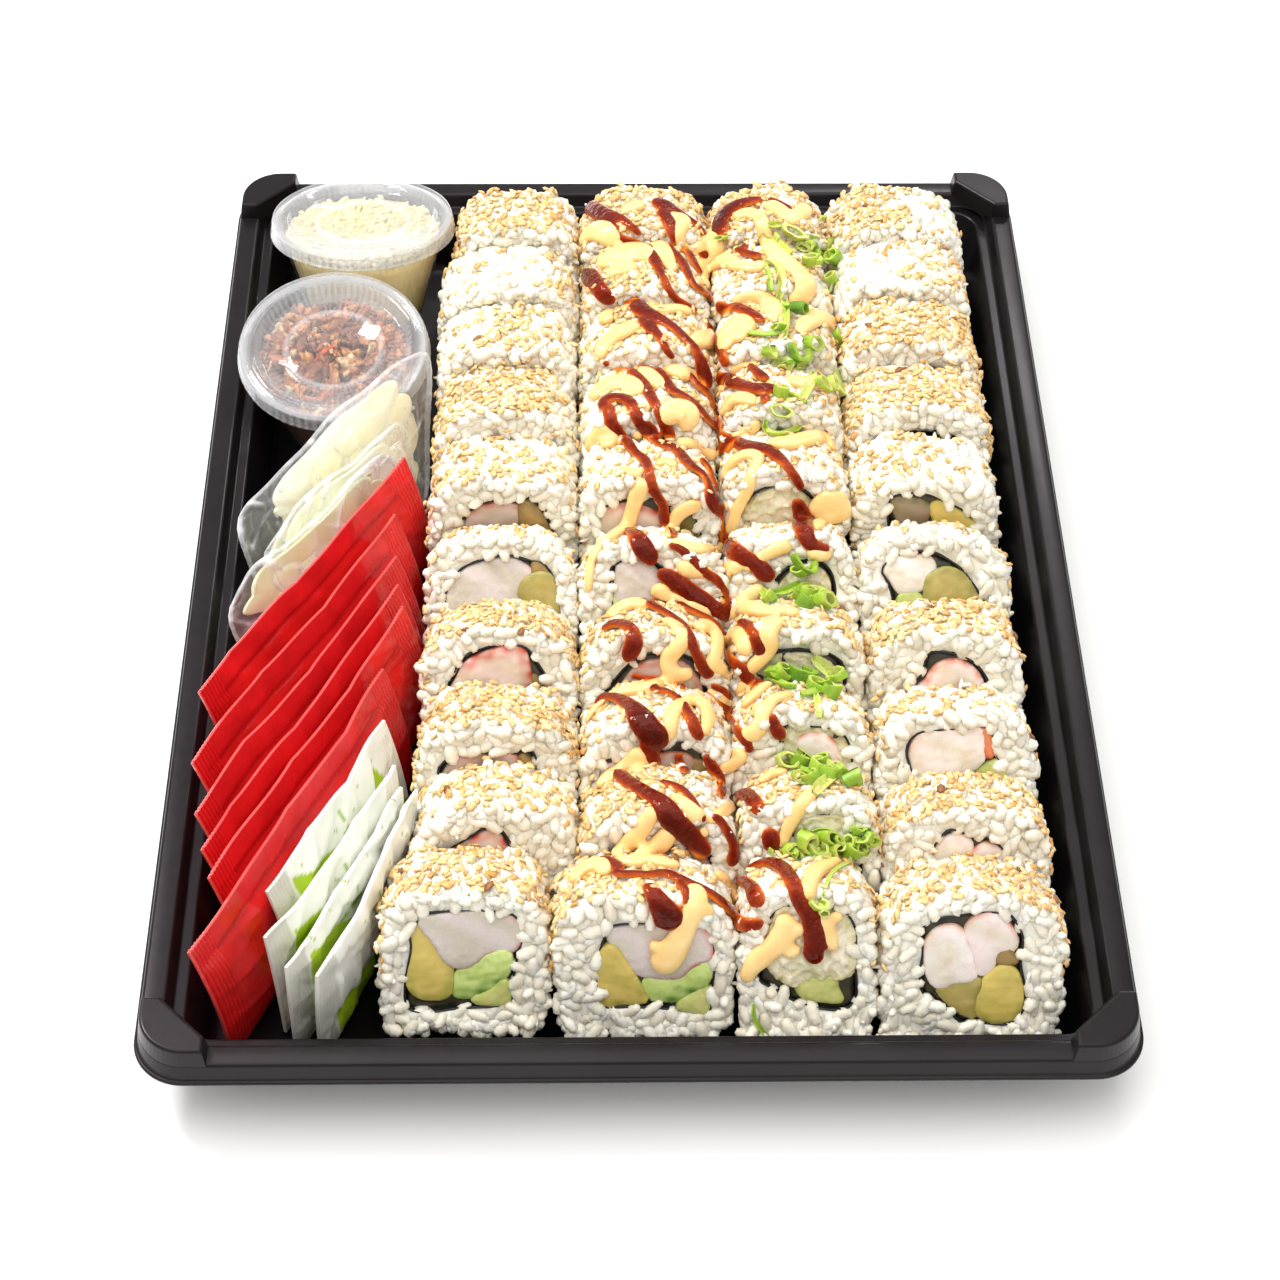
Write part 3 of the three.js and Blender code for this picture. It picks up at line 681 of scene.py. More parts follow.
def settle_faces():
    """Each slice gets its hollow outline and its fillings, in u and v."""
    for roll in ROLLS:
        shown = roll.name in FACES
        text = FACES[roll.name] if shown else f"hollow {PLAIN_HOLLOW}; {PLAIN_FACES[roll.column]}"
        loops = []
        for part in text.split(";"):
            kind, outline = part.split(maxsplit=1)
            points = traced(outline)[0]
            loops.append((kind, smooth_loop([roll.face_hit(*p) for p in points] if shown else points)))
        roll.hollow = resample(held_in(roll, loops[0][1], 5.0), 64)
        # A dark backing goes first behind the fillings: it stands for the nori, and it is painted shade in
        # the gaps between the fillings.
        roll.fillings = [("mash", grow(roll.hollow, -0.2))]
        for kind, loop in loops[1:]:
            roll.fillings.append((kind, held_in(roll, grow(resample(loop, 48), 0.75), 4.7)))


def round_off(edge):
    """How far a surface falls back at a distance from a rounded edge."""
    near = np.clip(ROUNDING - edge, 0, ROUNDING)
    return ROUNDING - np.sqrt(ROUNDING ** 2 - near ** 2)


def block(roll, inset=0.4, depth=0.55, widen=0.35, pocket=5.0):
    """A slice's closed body, with a pocket for the filling in either cut face."""
    turns = np.linspace(0, 2 * math.pi, 65)[:-1]
    stops = np.concatenate([[depth, depth + 0.8, depth + 2.2], np.linspace(5, roll.thick - 5, 6),
                            [roll.thick - depth - 2.2, roll.thick - depth - 0.8, roll.thick - depth]])
    inner = grow(roll.hollow, widen).T
    rings = [(*inner, pocket), (*inner, depth)]
    for w in stops:
        edge = min(w, roll.thick - w) - depth
        rings.append((*roll.outline(turns, inset + float(round_off(edge))), w))
    rings += [(*inner, roll.thick - depth), (*inner, roll.thick - pocket)]
    points = np.concatenate([roll.world(*ring) for ring in rings])
    swell = 0.35 * np.sin(points[:, :1] * 0.9 + points[:, 1:2] * 0.7) * np.sin(points[:, 2:] * 0.8 + 1.3)
    return points + swell * [0, 0, 1], tube_faces(len(rings), len(turns), -1)


def build_cores(look):
    """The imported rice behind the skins, which also closes each slice where nothing of it is seen."""
    make_piece("roll_cores", *join(map(block, ROLLS)), look, "rice", [f"roll_{roll.name}" for roll in ROLLS])


# Reach beyond the hollow's outline and lift off the cut face of each ring of the nori.
NORI_RINGS = [(0.8, -5.2), (0.4, -1.0), (0.22, -0.45), (-0.12, -0.4), (-0.32, -0.8), (-0.36, -3.0)]


def build_nori(look):
    """The dark sheet that lines each hollow, as a shallow cup in the cut face."""
    parts = []
    for roll in ROLLS:
        for side in (1, -1) if roll.row == 0 else (1,):
            points = []
            for reach, lift in NORI_RINGS:
                loop = grow(roll.hollow, reach)
                wave = 0.22 * np.sin(np.arange(len(loop)) * 0.59 + roll.phase[3]) * (lift > -3)
                points.append(roll.world(loop[:, 0], loop[:, 1], roll.face(side) + side * (lift + wave)))
            parts.append((np.concatenate(points), tube_faces(len(points), len(roll.hollow), side)))
    make_piece("nori_sheets", *join(parts), look, "rice")


def remeshed(points, faces, voxel):
    """Overlapping closed meshes melted into one skin: its points and its quads."""
    mesh = bpy.data.meshes.new("melt")
    mesh.from_pydata((np.asarray(points) / 1000).tolist(), [], faces)
    piece = add_object("melt", mesh)
    modify(piece, "REMESH", mode="VOXEL", voxel_size=voxel / 1000)
    modify(piece, "SMOOTH", factor=0.5, iterations=3)
    bpy.context.view_layer.update()
    melted = piece.evaluated_get(bpy.context.evaluated_depsgraph_get()).data
    skin = np.empty(len(melted.vertices) * 3, dtype=np.float32)
    melted.vertices.foreach_get("co", skin)
    corners = np.empty(len(melted.loops), dtype=np.int32)
    melted.loops.foreach_get("vertex_index", corners)
    bpy.data.objects.remove(piece)
    bpy.data.meshes.remove(mesh)
    return skin.reshape(-1, 3).astype(float) * 1000, corners.reshape(-1, 4)


# ---- Rice and sesame ------------------------------------------------------------------------


def spread(sampler, tries, most, gap):
    """Darts thrown at a surface, kept where they aren't within gap of one another."""
    tried = sampler(tries)
    kept = np.empty((0, tried.shape[1]))
    for dart in tried:
        if len(kept) >= most:
            break
        if not len(kept) or np.min((kept[:, 0] - dart[0]) ** 2 + (kept[:, 1] - dart[1]) ** 2) > gap ** 2:
            kept = np.vstack([kept, dart])
    return kept


def skin_points(roll, low, gap, tries, inset):
    """Spots on a slice's outer skin above a share of its height: positions, outward normals and w."""
    turns = np.linspace(-math.pi, math.pi, 721)
    u, v = roll.outline(turns)
    length = np.concatenate([[0], np.cumsum(np.hypot(np.diff(u), np.diff(v)))])

    def sampler(n):
        return np.column_stack([rng.uniform(0, length[-1], n), rng.uniform(0.3, roll.thick - 0.3, n)])

    kept = spread(sampler, tries, most=1400, gap=gap)
    angle = np.interp(kept[:, 0], length, turns)
    shown = np.interp(angle, turns, (v > low * ROLL_HEIGHT).astype(float)) > 0.5
    angle, w = angle[shown], kept[shown, 1]
    drop = round_off(np.minimum(w, roll.thick - w))
    u0, v0 = roll.outline(angle, inset)
    u1, v1 = roll.outline(angle + 0.02, inset)
    tangent = unit(np.column_stack([u1 - u0, v1 - v0]))
    out = np.column_stack([tangent[:, 1], -tangent[:, 0]])
    lean_out = np.where(w < roll.thick / 2, -1, 1) * np.sqrt(np.clip(drop, 0, None) / ROUNDING)
    normal = unit(np.column_stack([out, lean_out]))
    return roll.world(u0 - out[:, 0] * drop, v0 - out[:, 1] * drop, w), roll.turn(*normal.T), w


def face_points(roll, side):
    """Spots on the rice ring of a cut face."""
    def sampler(n):
        across = rng.uniform(-roll.width / 2, roll.width / 2, n)
        return np.column_stack([across, rng.uniform(0, ROLL_HEIGHT, n)])

    kept = spread(sampler, tries=1700, most=900, gap=2.45)
    angle = np.arctan2((kept[:, 1] - MID_HEIGHT), kept[:, 0] * ROLL_HEIGHT / roll.width)
    out_u, out_v = roll.outline(angle)
    full = np.hypot(out_u, out_v - MID_HEIGHT)
    edge = (1 - np.hypot(kept[:, 0], kept[:, 1] - MID_HEIGHT) / full) * full
    ok = (edge > 1.0) & ~within(kept, grow(roll.hollow, 0.15))
    kept, drop = kept[ok], round_off(edge[ok])
    out = unit(kept - [0, MID_HEIGHT]) * np.sqrt(drop / ROUNDING)[:, None]
    normal = unit(np.column_stack([out, np.full(len(kept), side)]))
    return roll.world(kept[:, 0], kept[:, 1], roll.face(side) - side * (drop + 0.95)), roll.turn(*normal.T)


def foot_points(roll, count=26):
    """Spots for grains that have slipped to the foot of a cut face."""
    u = rng.uniform(-roll.width / 2 + 2, roll.width / 2 - 2, count)
    v = rng.uniform(1.5, 2.6, count)
    w = roll.thick + rng.uniform(-0.8, 0.9, count) - 0.25 * v
    return roll.world(u, v, w), roll.turn(0 * u, 0 * u + 0.35, 0 * u + 1)


def seen(roll, spots):
    """Which spots on a slice aren't against a neighbour, the floor or the slice in front."""
    u, v, w = roll.local(spots)
    flank = np.where(u < 0, 2.0 if roll.column == "a" else 19.0, 2.0 if roll.column == "d" else 19.0)
    keep = (v > flank) | (w > roll.thick - 4) | ((roll.row == 0) & (w < 4))
    keep &= (w < roll.thick - 3) | (v > SHOWN_DOWN_TO[roll.row] - 4)
    return keep & ((roll.row == 0) | (w > 3) | (v > 30)) & (v > 1.0)


def gathered(pairs):
    """Pairs of arrays joined end to end."""
    return tuple(np.concatenate(column) for column in zip(*pairs))


def blend(first, second, share):
    """Colours between two 8-bit ones."""
    first, second = np.array(srgb(*first)), np.array(srgb(*second))
    return first + (second - first) * share


def build_rice(look):
    """Sticky grains pressed into each slice, a piece for each column, and trees of their skins."""
    shape = bead(7, 4, lambda t: (1 - abs(t) ** 3.4) ** 0.5)
    shape[0][:, 1] += 0.15 * (1 - shape[0][:, 0] ** 2)
    trees = {}
    for column in COLUMNS:
        laid = []
        for roll in (r for r in ROLLS if r.column == column):
            parts = [skin_points(roll, low=0.04, gap=2.5, tries=2600, inset=0.95)[:2], face_points(roll, 1)]
            if roll.row == FRONT_ROW:
                parts.append(foot_points(roll))
            if roll.row == 0:
                parts.append(face_points(roll, -1))
            spots, normals = gathered(parts)
            kept = seen(roll, spots)
            laid.append((spots[kept], normals[kept]))
        spots, normals = gathered(laid)
        count = len(spots)
        length = rng.normal(3.25, 0.45, count).clip(2.3, 4.2)
        width = rng.normal(1.84, 0.18, count).clip(1.4, 2.25)
        on_end = rng.uniform(0, 1, count) < 0.1
        axes = frames_about(normals, np.where(on_end, 2.0, 0.27)[:, None])
        sunk = np.where(on_end, 0.45 * (length - width), 0)
        spots = spots + normals * (rng.normal(0.0, 0.36, count) - sunk)[:, None]
        sizes = np.column_stack([length, width, width * rng.uniform(0.84, 1.0, count)])
        points, faces = scatter(shape, spots, axes, sizes)
        shade = blend((222, 215, 196), (254, 249, 234), rng.beta(2.2, 1.2, (count, 1)))
        tint = np.repeat(shade, len(shape[0]), axis=0)
        make_piece(f"rice_{column}", points, faces, look, "rice", tint=tint)
        trees[column] = BVHTree.FromPolygons(points.tolist(), faces.tolist())
    return trees


# Sesame in each column, from the back: how much of the skin it covers, where its middle lies across
# the slice (-1 to 1) and its spread.
SESAME = {
    "a": """0.9,-0.3,1.1 0.3,0.8,0.5 0.5,0.1,0.7 0.9,-0.3,1 0.4,-0.3,1.2 0.12,0,1 0.72,0,1.4 0.7,0.1,1.2
        0.5,0.1,1 0.55,0,1.2""",
    "b": """0.9,-0.1,1.4 0.55,0,1.2 0.6,0.2,1.2 0.45,0,1 0.3,0,1.2 0.1,0,1 0.45,0,1.3 0.42,0,1.2
        0.9,-0.5,0.9 0.75,-0.4,0.9""",
    "c": """0.7,-0.2,1.2 0.5,0,1 0.4,0,1 0.35,0,1 0.3,0,1.2 0.1,0,1 0.35,0,1.3 0.3,0,1.2 0.55,-0.2,0.9
        0.3,0.3,0.8""",
    "d": """0.7,-0.5,0.8 0.4,0.5,0.7 0.85,0.2,1.1 0.85,-0.2,1.3 0.35,-0.4,0.8 0.08,0,1 0.6,0.1,1.3
        0.3,0,1.2 0.65,0,1.3 0.6,0.1,1.3""",
}


def build_sesame(look, trees):
    shape = bead(6, 2, lambda t: (1 - t * t) ** 0.5 * (0.98 + 0.3 * t))
    placed = []
    chosen = []
    for roll in ROLLS:
        cover, middle, reach = traced(SESAME[roll.column])[0][roll.row]
        at, _, w = skin_points(roll, low=0.45, gap=1.36, tries=2200, inset=-0.1)
        across = (at[:, 0] - roll.x) / (roll.width / 2)
        patch = (np.sin(at[:, 0] * 0.42 + roll.phase[4]) * np.sin(w * 0.37 + roll.phase[5])
                 + 0.6 * np.sin(at[:, 0] * 0.9 + w * 0.8 + roll.phase[1]))
        level = 1.5 * cover * np.exp(-((across - middle) / reach) ** 2) + 0.42 * patch
        sown = rng.uniform(0, 1, len(at)) < np.clip((level - 0.22) * 1.9, 0.03, 1)
        chosen += [(spot, roll) for spot in at[sown]]
    for spot, roll in chosen:
        out = spot - roll.world(0, MID_HEIGHT, roll.thick / 2)
        out = unit(out - roll.turn(0, 0, 1) * (out @ roll.turn(0, 0, 1)) * 0.8)
        found = trees[roll.column].ray_cast(Vector(spot + out * 3), Vector(-out), 6)
        if found[0] is not None:
            facing = np.array(found[1])
            facing = facing if facing @ out > 0 else -facing
            placed.append((np.array(found[0]), unit(facing + out * 0.8)))
    spots, normals = map(np.array, zip(*placed))
    count = len(spots)
    axes = frames_about(normals, 0.24)
    spots = spots + normals * rng.uniform(0.1, 0.5, (count, 1))
    length = rng.normal(1.64, 0.13, count)
    sizes = np.column_stack([length, length * 0.74, rng.uniform(0.42, 0.6, count)])
    shade = blend((250, 222, 164), (216, 160, 84), rng.beta(1.1, 2.0, (count, 1)))
    shade = np.where(rng.uniform(0, 1, (count, 1)) < 0.012, srgb(146, 96, 50), shade)
    tint = np.repeat(shade, len(shape[0]), axis=0)
    make_piece("sesame_seeds", *scatter(shape, spots, axes, sizes), look, "rice", tint=tint)


# ---- Fillings -------------------------------------------------------------------------------

# Filling: look, colour at the middle, colour at the rim, where the rim colour lies (u, v; 0, 0 is all
# round), how wide the rim band is (0 to 1) and roughness.
FILLINGS = {
    # The backing behind the fillings is dark partly as nori and partly as painted shade in the gaps, and
    # darker at its rim as painted shade.
    "mash": ("soft", (74, 66, 42), (34, 32, 22), (0, 0), 0.4, 0.4),
    "crab": ("crab", (210, 199, 188), (206, 62, 46), (0.7, -0.5), 0.12, 0.25),
    # A greyer, darker copy of crab: painted shade for faces in shadow.
    "crab_grey": ("crab", (196, 176, 162), (186, 100, 78), (0.3, 0.9), 0.2, 0.3),
    "crab_red": ("crab", (228, 208, 192), (204, 66, 42), (0.35, 0.95), 0.26, 0.3),
    "avocado": ("avocado", (216, 194, 106), (150, 150, 58), (0, -1), 0.3, 0.36),
    # A darker, duller copy of avocado: painted shade that tones down faces which lean towards the light.
    "avocado_green": ("avocado", (184, 166, 96), (146, 142, 70), (0, 0), 0.3, 0.42),
    "avocado_dull": ("avocado", (166, 136, 82), (128, 102, 56), (0, 0), 0.3, 0.45),
    "avocado_dark": ("avocado", (120, 110, 50), (76, 76, 30), (0, 0), 0.3, 0.45),
    "cucumber": ("cucumber", (208, 224, 138), (66, 128, 26), (0.4, -1), 0.6, 0.2),
    "pale_green": ("cucumber", (206, 204, 128), (176, 186, 98), (0, 0), 0.3, 0.3),
    "shrimp": ("soft", (238, 228, 218), (230, 178, 152), (-0.3, 0.9), 0.13, 0.25),
    "shrimp_pale": ("soft", (228, 214, 188), (220, 186, 148), (0, 0), 0.2, 0.3),
    "shrimp_pink": ("soft", (238, 224, 214), (222, 124, 88), (0.2, 0.8), 0.13, 0.22),
    "shrimp_grey": ("soft", (158, 138, 112), (104, 100, 52), (0, 1), 0.35, 0.3),
    "shrimp_orange": ("soft", (222, 132, 84), (206, 92, 48), (0, 0), 0.3, 0.3),
    "tempura": ("tempura", (232, 226, 200), (208, 198, 146), (0, 0), 0.3, 0.4),
}
ROUGH_CUTS = {"tempura": 0.42, "cucumber": 0.09}
PLAIN_CUT = 0.055
FILLING_VOXEL = 0.6
# Voxel and depth of the dark backing, which is nori and painted shade.
MASH_VOXEL = 1.2
MASH_PROUD = -1.35


def slab(roll, loop, side, proud, voxel):
    """A filling piece that fills its outline up to the cut face, as a melted skin."""
    rings = [roll.world(*loop.T, roll.face(side) + side * lift) for lift in (-5.0, -2.5, proud)]
    points, quads = remeshed(np.concatenate(rings), tube_faces(3, len(loop), side), voxel)
    flat = np.column_stack(roll.local(points)[:2])
    depth = np.min(np.hypot(flat[:, None, 0] - loop[None, :, 0], flat[:, None, 1] - loop[None, :, 1]), 1)
    return points, quads, flat, depth


def settled(roll, kind, flat, depth, points, side):
    """How far a cut face stands out: a soft dome with a tilt, and lumps where the food is rough."""
    if kind == "mash":
        return np.zeros((len(points), 1))
    plane = roll.world(0, 0, roll.face(side))
    near = np.clip(1 + ((points - plane) @ roll.turn(0, 0, side) + 1.0) / 1.5, 0, 1)
    across, up = (flat - flat.mean(0)).T
    count = len(flat)
    tilt = 0.05 * (across * math.sin(roll.phase[2] + count) + up * math.cos(roll.phase[3] + count))
    lumps = 0
    for i, pitch in enumerate((0.4, 0.7, 1.1, 1.5, 2.1)):
        turn = roll.phase[i] + count + i * 2.4
        ahead = flat @ [math.cos(turn), math.sin(turn)]
        aside = flat @ [-math.sin(turn), math.cos(turn)]
        lumps = lumps + np.sin(ahead * pitch + 1.5 * np.sin(aside * pitch * 0.7 + i)) * 0.6
    dome = 0.6 * (1 - np.exp(-depth / 1.6)) - 0.3
    return (near * (dome + tilt.clip(-0.4, 0.4) + ROUGH_CUTS.get(kind, PLAIN_CUT) * lumps))[:, None]


def rim_share(loop, flat, depth, toward, band, phase, order):
    """How much of the rim's colour each point has."""
    out = unit(flat - loop.mean(0) + 1e-6)
    length = math.hypot(*toward)
    facing = 1.0 if length == 0 else np.clip((out @ np.array(toward)) / length * 1.5, 0, 1)
    reach = np.hypot(*(loop - loop.mean(0)).T).mean() * band + 0.3
    patchy = 0.75 + 0.5 * np.sin(flat @ [0.9, 0.7] + phase) * np.sin(flat @ [-0.6, 1.1] + order)
    return (np.clip(1 - depth / reach, 0, 1) ** 0.8 * facing * patchy)[:, None].clip(0, 1)


def build_fillings():
    parts = {kind: [] for kind in FILLINGS}
    tints = {kind: [] for kind in FILLINGS}
    for roll in ROLLS:
        for side in ([1] if roll.name in FACES else []) + ([-1] if roll.row == 0 else []):
            for order, (kind, loop) in enumerate(roll.fillings):
                _, middle, edge, toward, band, _ = FILLINGS[kind]
                proud, voxel = -0.3 + 0.3 * math.sin(order * 2.3 + roll.phase[0]), FILLING_VOXEL
                if kind == "mash":
                    proud, voxel = MASH_PROUD, MASH_VOXEL
                points, quads, flat, depth = slab(roll, loop, side, proud, voxel)
                points = points + settled(roll, kind, flat, depth, points, side) * roll.turn(0, 0, side)
                share = rim_share(loop, flat, depth, toward, band, roll.phase[2], order)
                tint = np.array(srgb(*middle)) * (1 - share) + np.array(srgb(*edge)) * share
                u, v = flat[:, :1], flat[:, 1:]
                drift = np.sin(u * 0.35 + v * 0.3 + roll.phase[1] + 1.2 * np.sin(v * 0.4))
                parts[kind].append((points, quads))
                tints[kind].append(tint * (1 + drift * [0.08, 0.07, 0.14]))
    for kind in filter(parts.get, FILLINGS):
        look, *_, rough = FILLINGS[kind]
        look = tinted_look(look, kind, ((0.9, 2), rough - 0.08, rough + 0.12))
        make_piece(f"filling_{kind}", *join(parts[kind]), look, "rice", tint=np.concatenate(tints[kind]))


# ---- Toppings: sauces and scallions, traced in pixels of the 1280 frame and laid on the rolls --

# Strands: x, y and half width at each point.
MAYO = traced("""
    584,246,5 590,236,8 602,232,9 614,240,7 606,246,5; 598,268,6 608,263,11 624,257,13 640,254,11 648,264,6;
    606,278,4 622,272,7 638,268,7; 622,216,3 632,210,5 646,207,4; 650,250,3 658,246,5 664,254,6 668,264,5
    674,274,3; 668,222,5 676,218,4 684,224,5 678,232,5 680,244,4 690,250,4 700,246,5 714,238,7 718,250,6
    708,262,5 696,268,4; 714,268,4 726,262,6 738,268,5 756,270,5 766,266,4; 710,290,4 700,282,3 706,272,3;
    766,206,5 778,212,6 790,222,6 802,214,6 804,208,5; 735,222,4 745,216,5 760,220,5 766,238,5 772,252,7
    784,264,8 796,274,8 805,286,8 800,298,6 790,293,6; 648,304,3 660,312,4 676,311,4 690,314,4; 612,310,3
    606,322,5 614,318,5; 600,360,3 605,350,6 613,340,7 628,332,7 641,328,4; 690,346,5 700,342,7 712,341,8
    716,352,8 710,364,6; 728,352,5 729,336,9 738,324,8 746,330,8 734,344,7; 733,309,5 742,302,8 752,298,7
    764,301,8 774,314,7 772,324,5; 800,336,4 806,326,7 818,320,7 830,326,6 836,334,4; 596,402,5 602,392,8
    614,386,10 628,386,9 638,394,6 620,396,6; 634,371,3 646,376,6 656,384,6 664,392,4; 660,370,4 672,372,7
    682,378,6 690,372,4 700,382,3; 664,424,4 670,414,9 682,411,9 690,418,7 680,427,5; 724,416,4 730,408,5
    738,401,6 750,402,5 756,406,3; 710,400,3 716,392,4 726,390,3; 788,382,5 804,386,7 818,386,8 826,396,5;
    730,436,3 742,434,4 752,426,5 760,420,3; 730,372,3 742,366,4 758,367,3; 590,452,5 596,440,7 606,432,8
    614,440,6 604,450,6; 634,438,3 641,430,3; 676,446,4 688,446,5 702,450,4 714,455,4; 656,468,3 666,464,4
    676,470,3; 646,480,4 638,492,6 633,506,5 629,520,5 624,532,6 612,541,6 600,550,4 593,562,3 590,578,3
    588,592,2; 622,470,3 634,476,4 643,472,3; 668,540,3 672,526,4 677,514,5 689,506,5 702,502,4; 670,544,4
    688,548,4 704,551,4 716,548,4 724,541,3; 726,482,3 730,470,5 740,460,5 752,457,5 760,461,4 753,474,4
    748,488,4 742,498,4 736,510,4 732,524,4 730,534,3; 714,484,3 720,496,3; 768,446,5 784,446,7 798,444,8
    814,440,7 828,440,5 830,450,4; 812,514,6 822,503,8 834,500,9 842,512,6 826,516,6 816,532,4; 742,568,4
    754,562,4 766,554,4 778,548,5 792,543,5; 806,551,4 820,554,5 832,553,3; 722,574,4 732,568,5 742,566,4;
    676,562,3 686,568,6 698,572,4 712,570,3; 736,606,4 744,598,5 756,591,5 764,586,4; 652,597,3 660,590,6
    668,598,5 690,601,4; 818,600,4 828,601,5 834,610,3; 612,620,4 620,612,6 634,606,6 646,610,5; 682,603,4
    694,606,7 706,610,6 714,616,4; 664,622,4 676,630,5 683,640,5 676,648,6 668,658,6 671,669,6 682,674,5
    692,668,4; 696,632,5 706,628,6 714,638,6 714,652,5 712,662,5 722,670,4 730,673,3; 730,642,4 738,634,5
    745,642,6 744,656,5; 726,616,4 740,610,6 756,612,7 772,616,6 786,614,6 798,618,5; 780,622,6 768,632,7
    770,644,6 764,655,5 754,664,5 747,674,3; 737,696,3 744,686,5 750,678,4; 606,702,3 616,697,5 630,693,6
    646,691,6 658,686,5 670,680,5 680,686,4; 590,722,2 597,711,3 606,702,3; 668,740,3 670,728,5 672,716,6
    682,706,5 694,702,5 704,710,6 706,724,5 702,736,3; 706,690,3 716,694,4 724,702,4 736,705,4; 742,734,4
    752,733,6 762,722,6 762,710,5 754,712,4; 744,710,4 754,700,5 764,690,4 772,686,3; 764,716,4 772,704,5
    782,700,5 792,696,3; 718,769,4 730,764,5 740,756,6 744,747,4; 642,746,6 636,758,8 630,766,8 618,774,7
    606,784,6 599,788,5; 646,756,6 642,770,6 634,777,4; 640,784,3 652,787,3; 672,798,4 684,806,5 694,814,6
    706,818,4; 656,808,5 648,818,6 640,830,6 630,840,6 622,850,6 616,860,4; 674,824,5 666,836,7 656,846,7
    646,855,6 636,862,5; 706,822,3 718,816,4 728,807,4 736,800,3; 700,826,3 706,836,4; 781,848,3 785,834,4
    791,820,5 799,808,5 810,797,5 820,790,4; 760,786,3 772,777,4 788,774,4; 574,886,4 580,876,6 590,869,7
    602,868,7 606,878,5; 616,862,4 634,865,6 650,863,5 664,866,5 680,868,3; 712,874,3 722,882,6 730,892,7
    740,899,6; 690,888,6 696,898,8 692,912,8 686,924,8 680,936,9 672,950,11 662,963,11 656,970,8; 652,952,8
    664,942,9; 700,908,5 713,912,3; 778,914,5 786,926,9 780,938,9 770,948,8 758,958,8 750,968,6 745,981,4;
    788,944,7 796,956,6; 796,920,7 794,936,7; 808,900,5 809,886,6 816,874,7 828,868,5 838,862,3; 822,912,6
    826,926,6 831,940,5 834,950,3; 836,910,6 835,922,4; 752,880,3 762,875,4; 790,868,4 802,870,5
""")
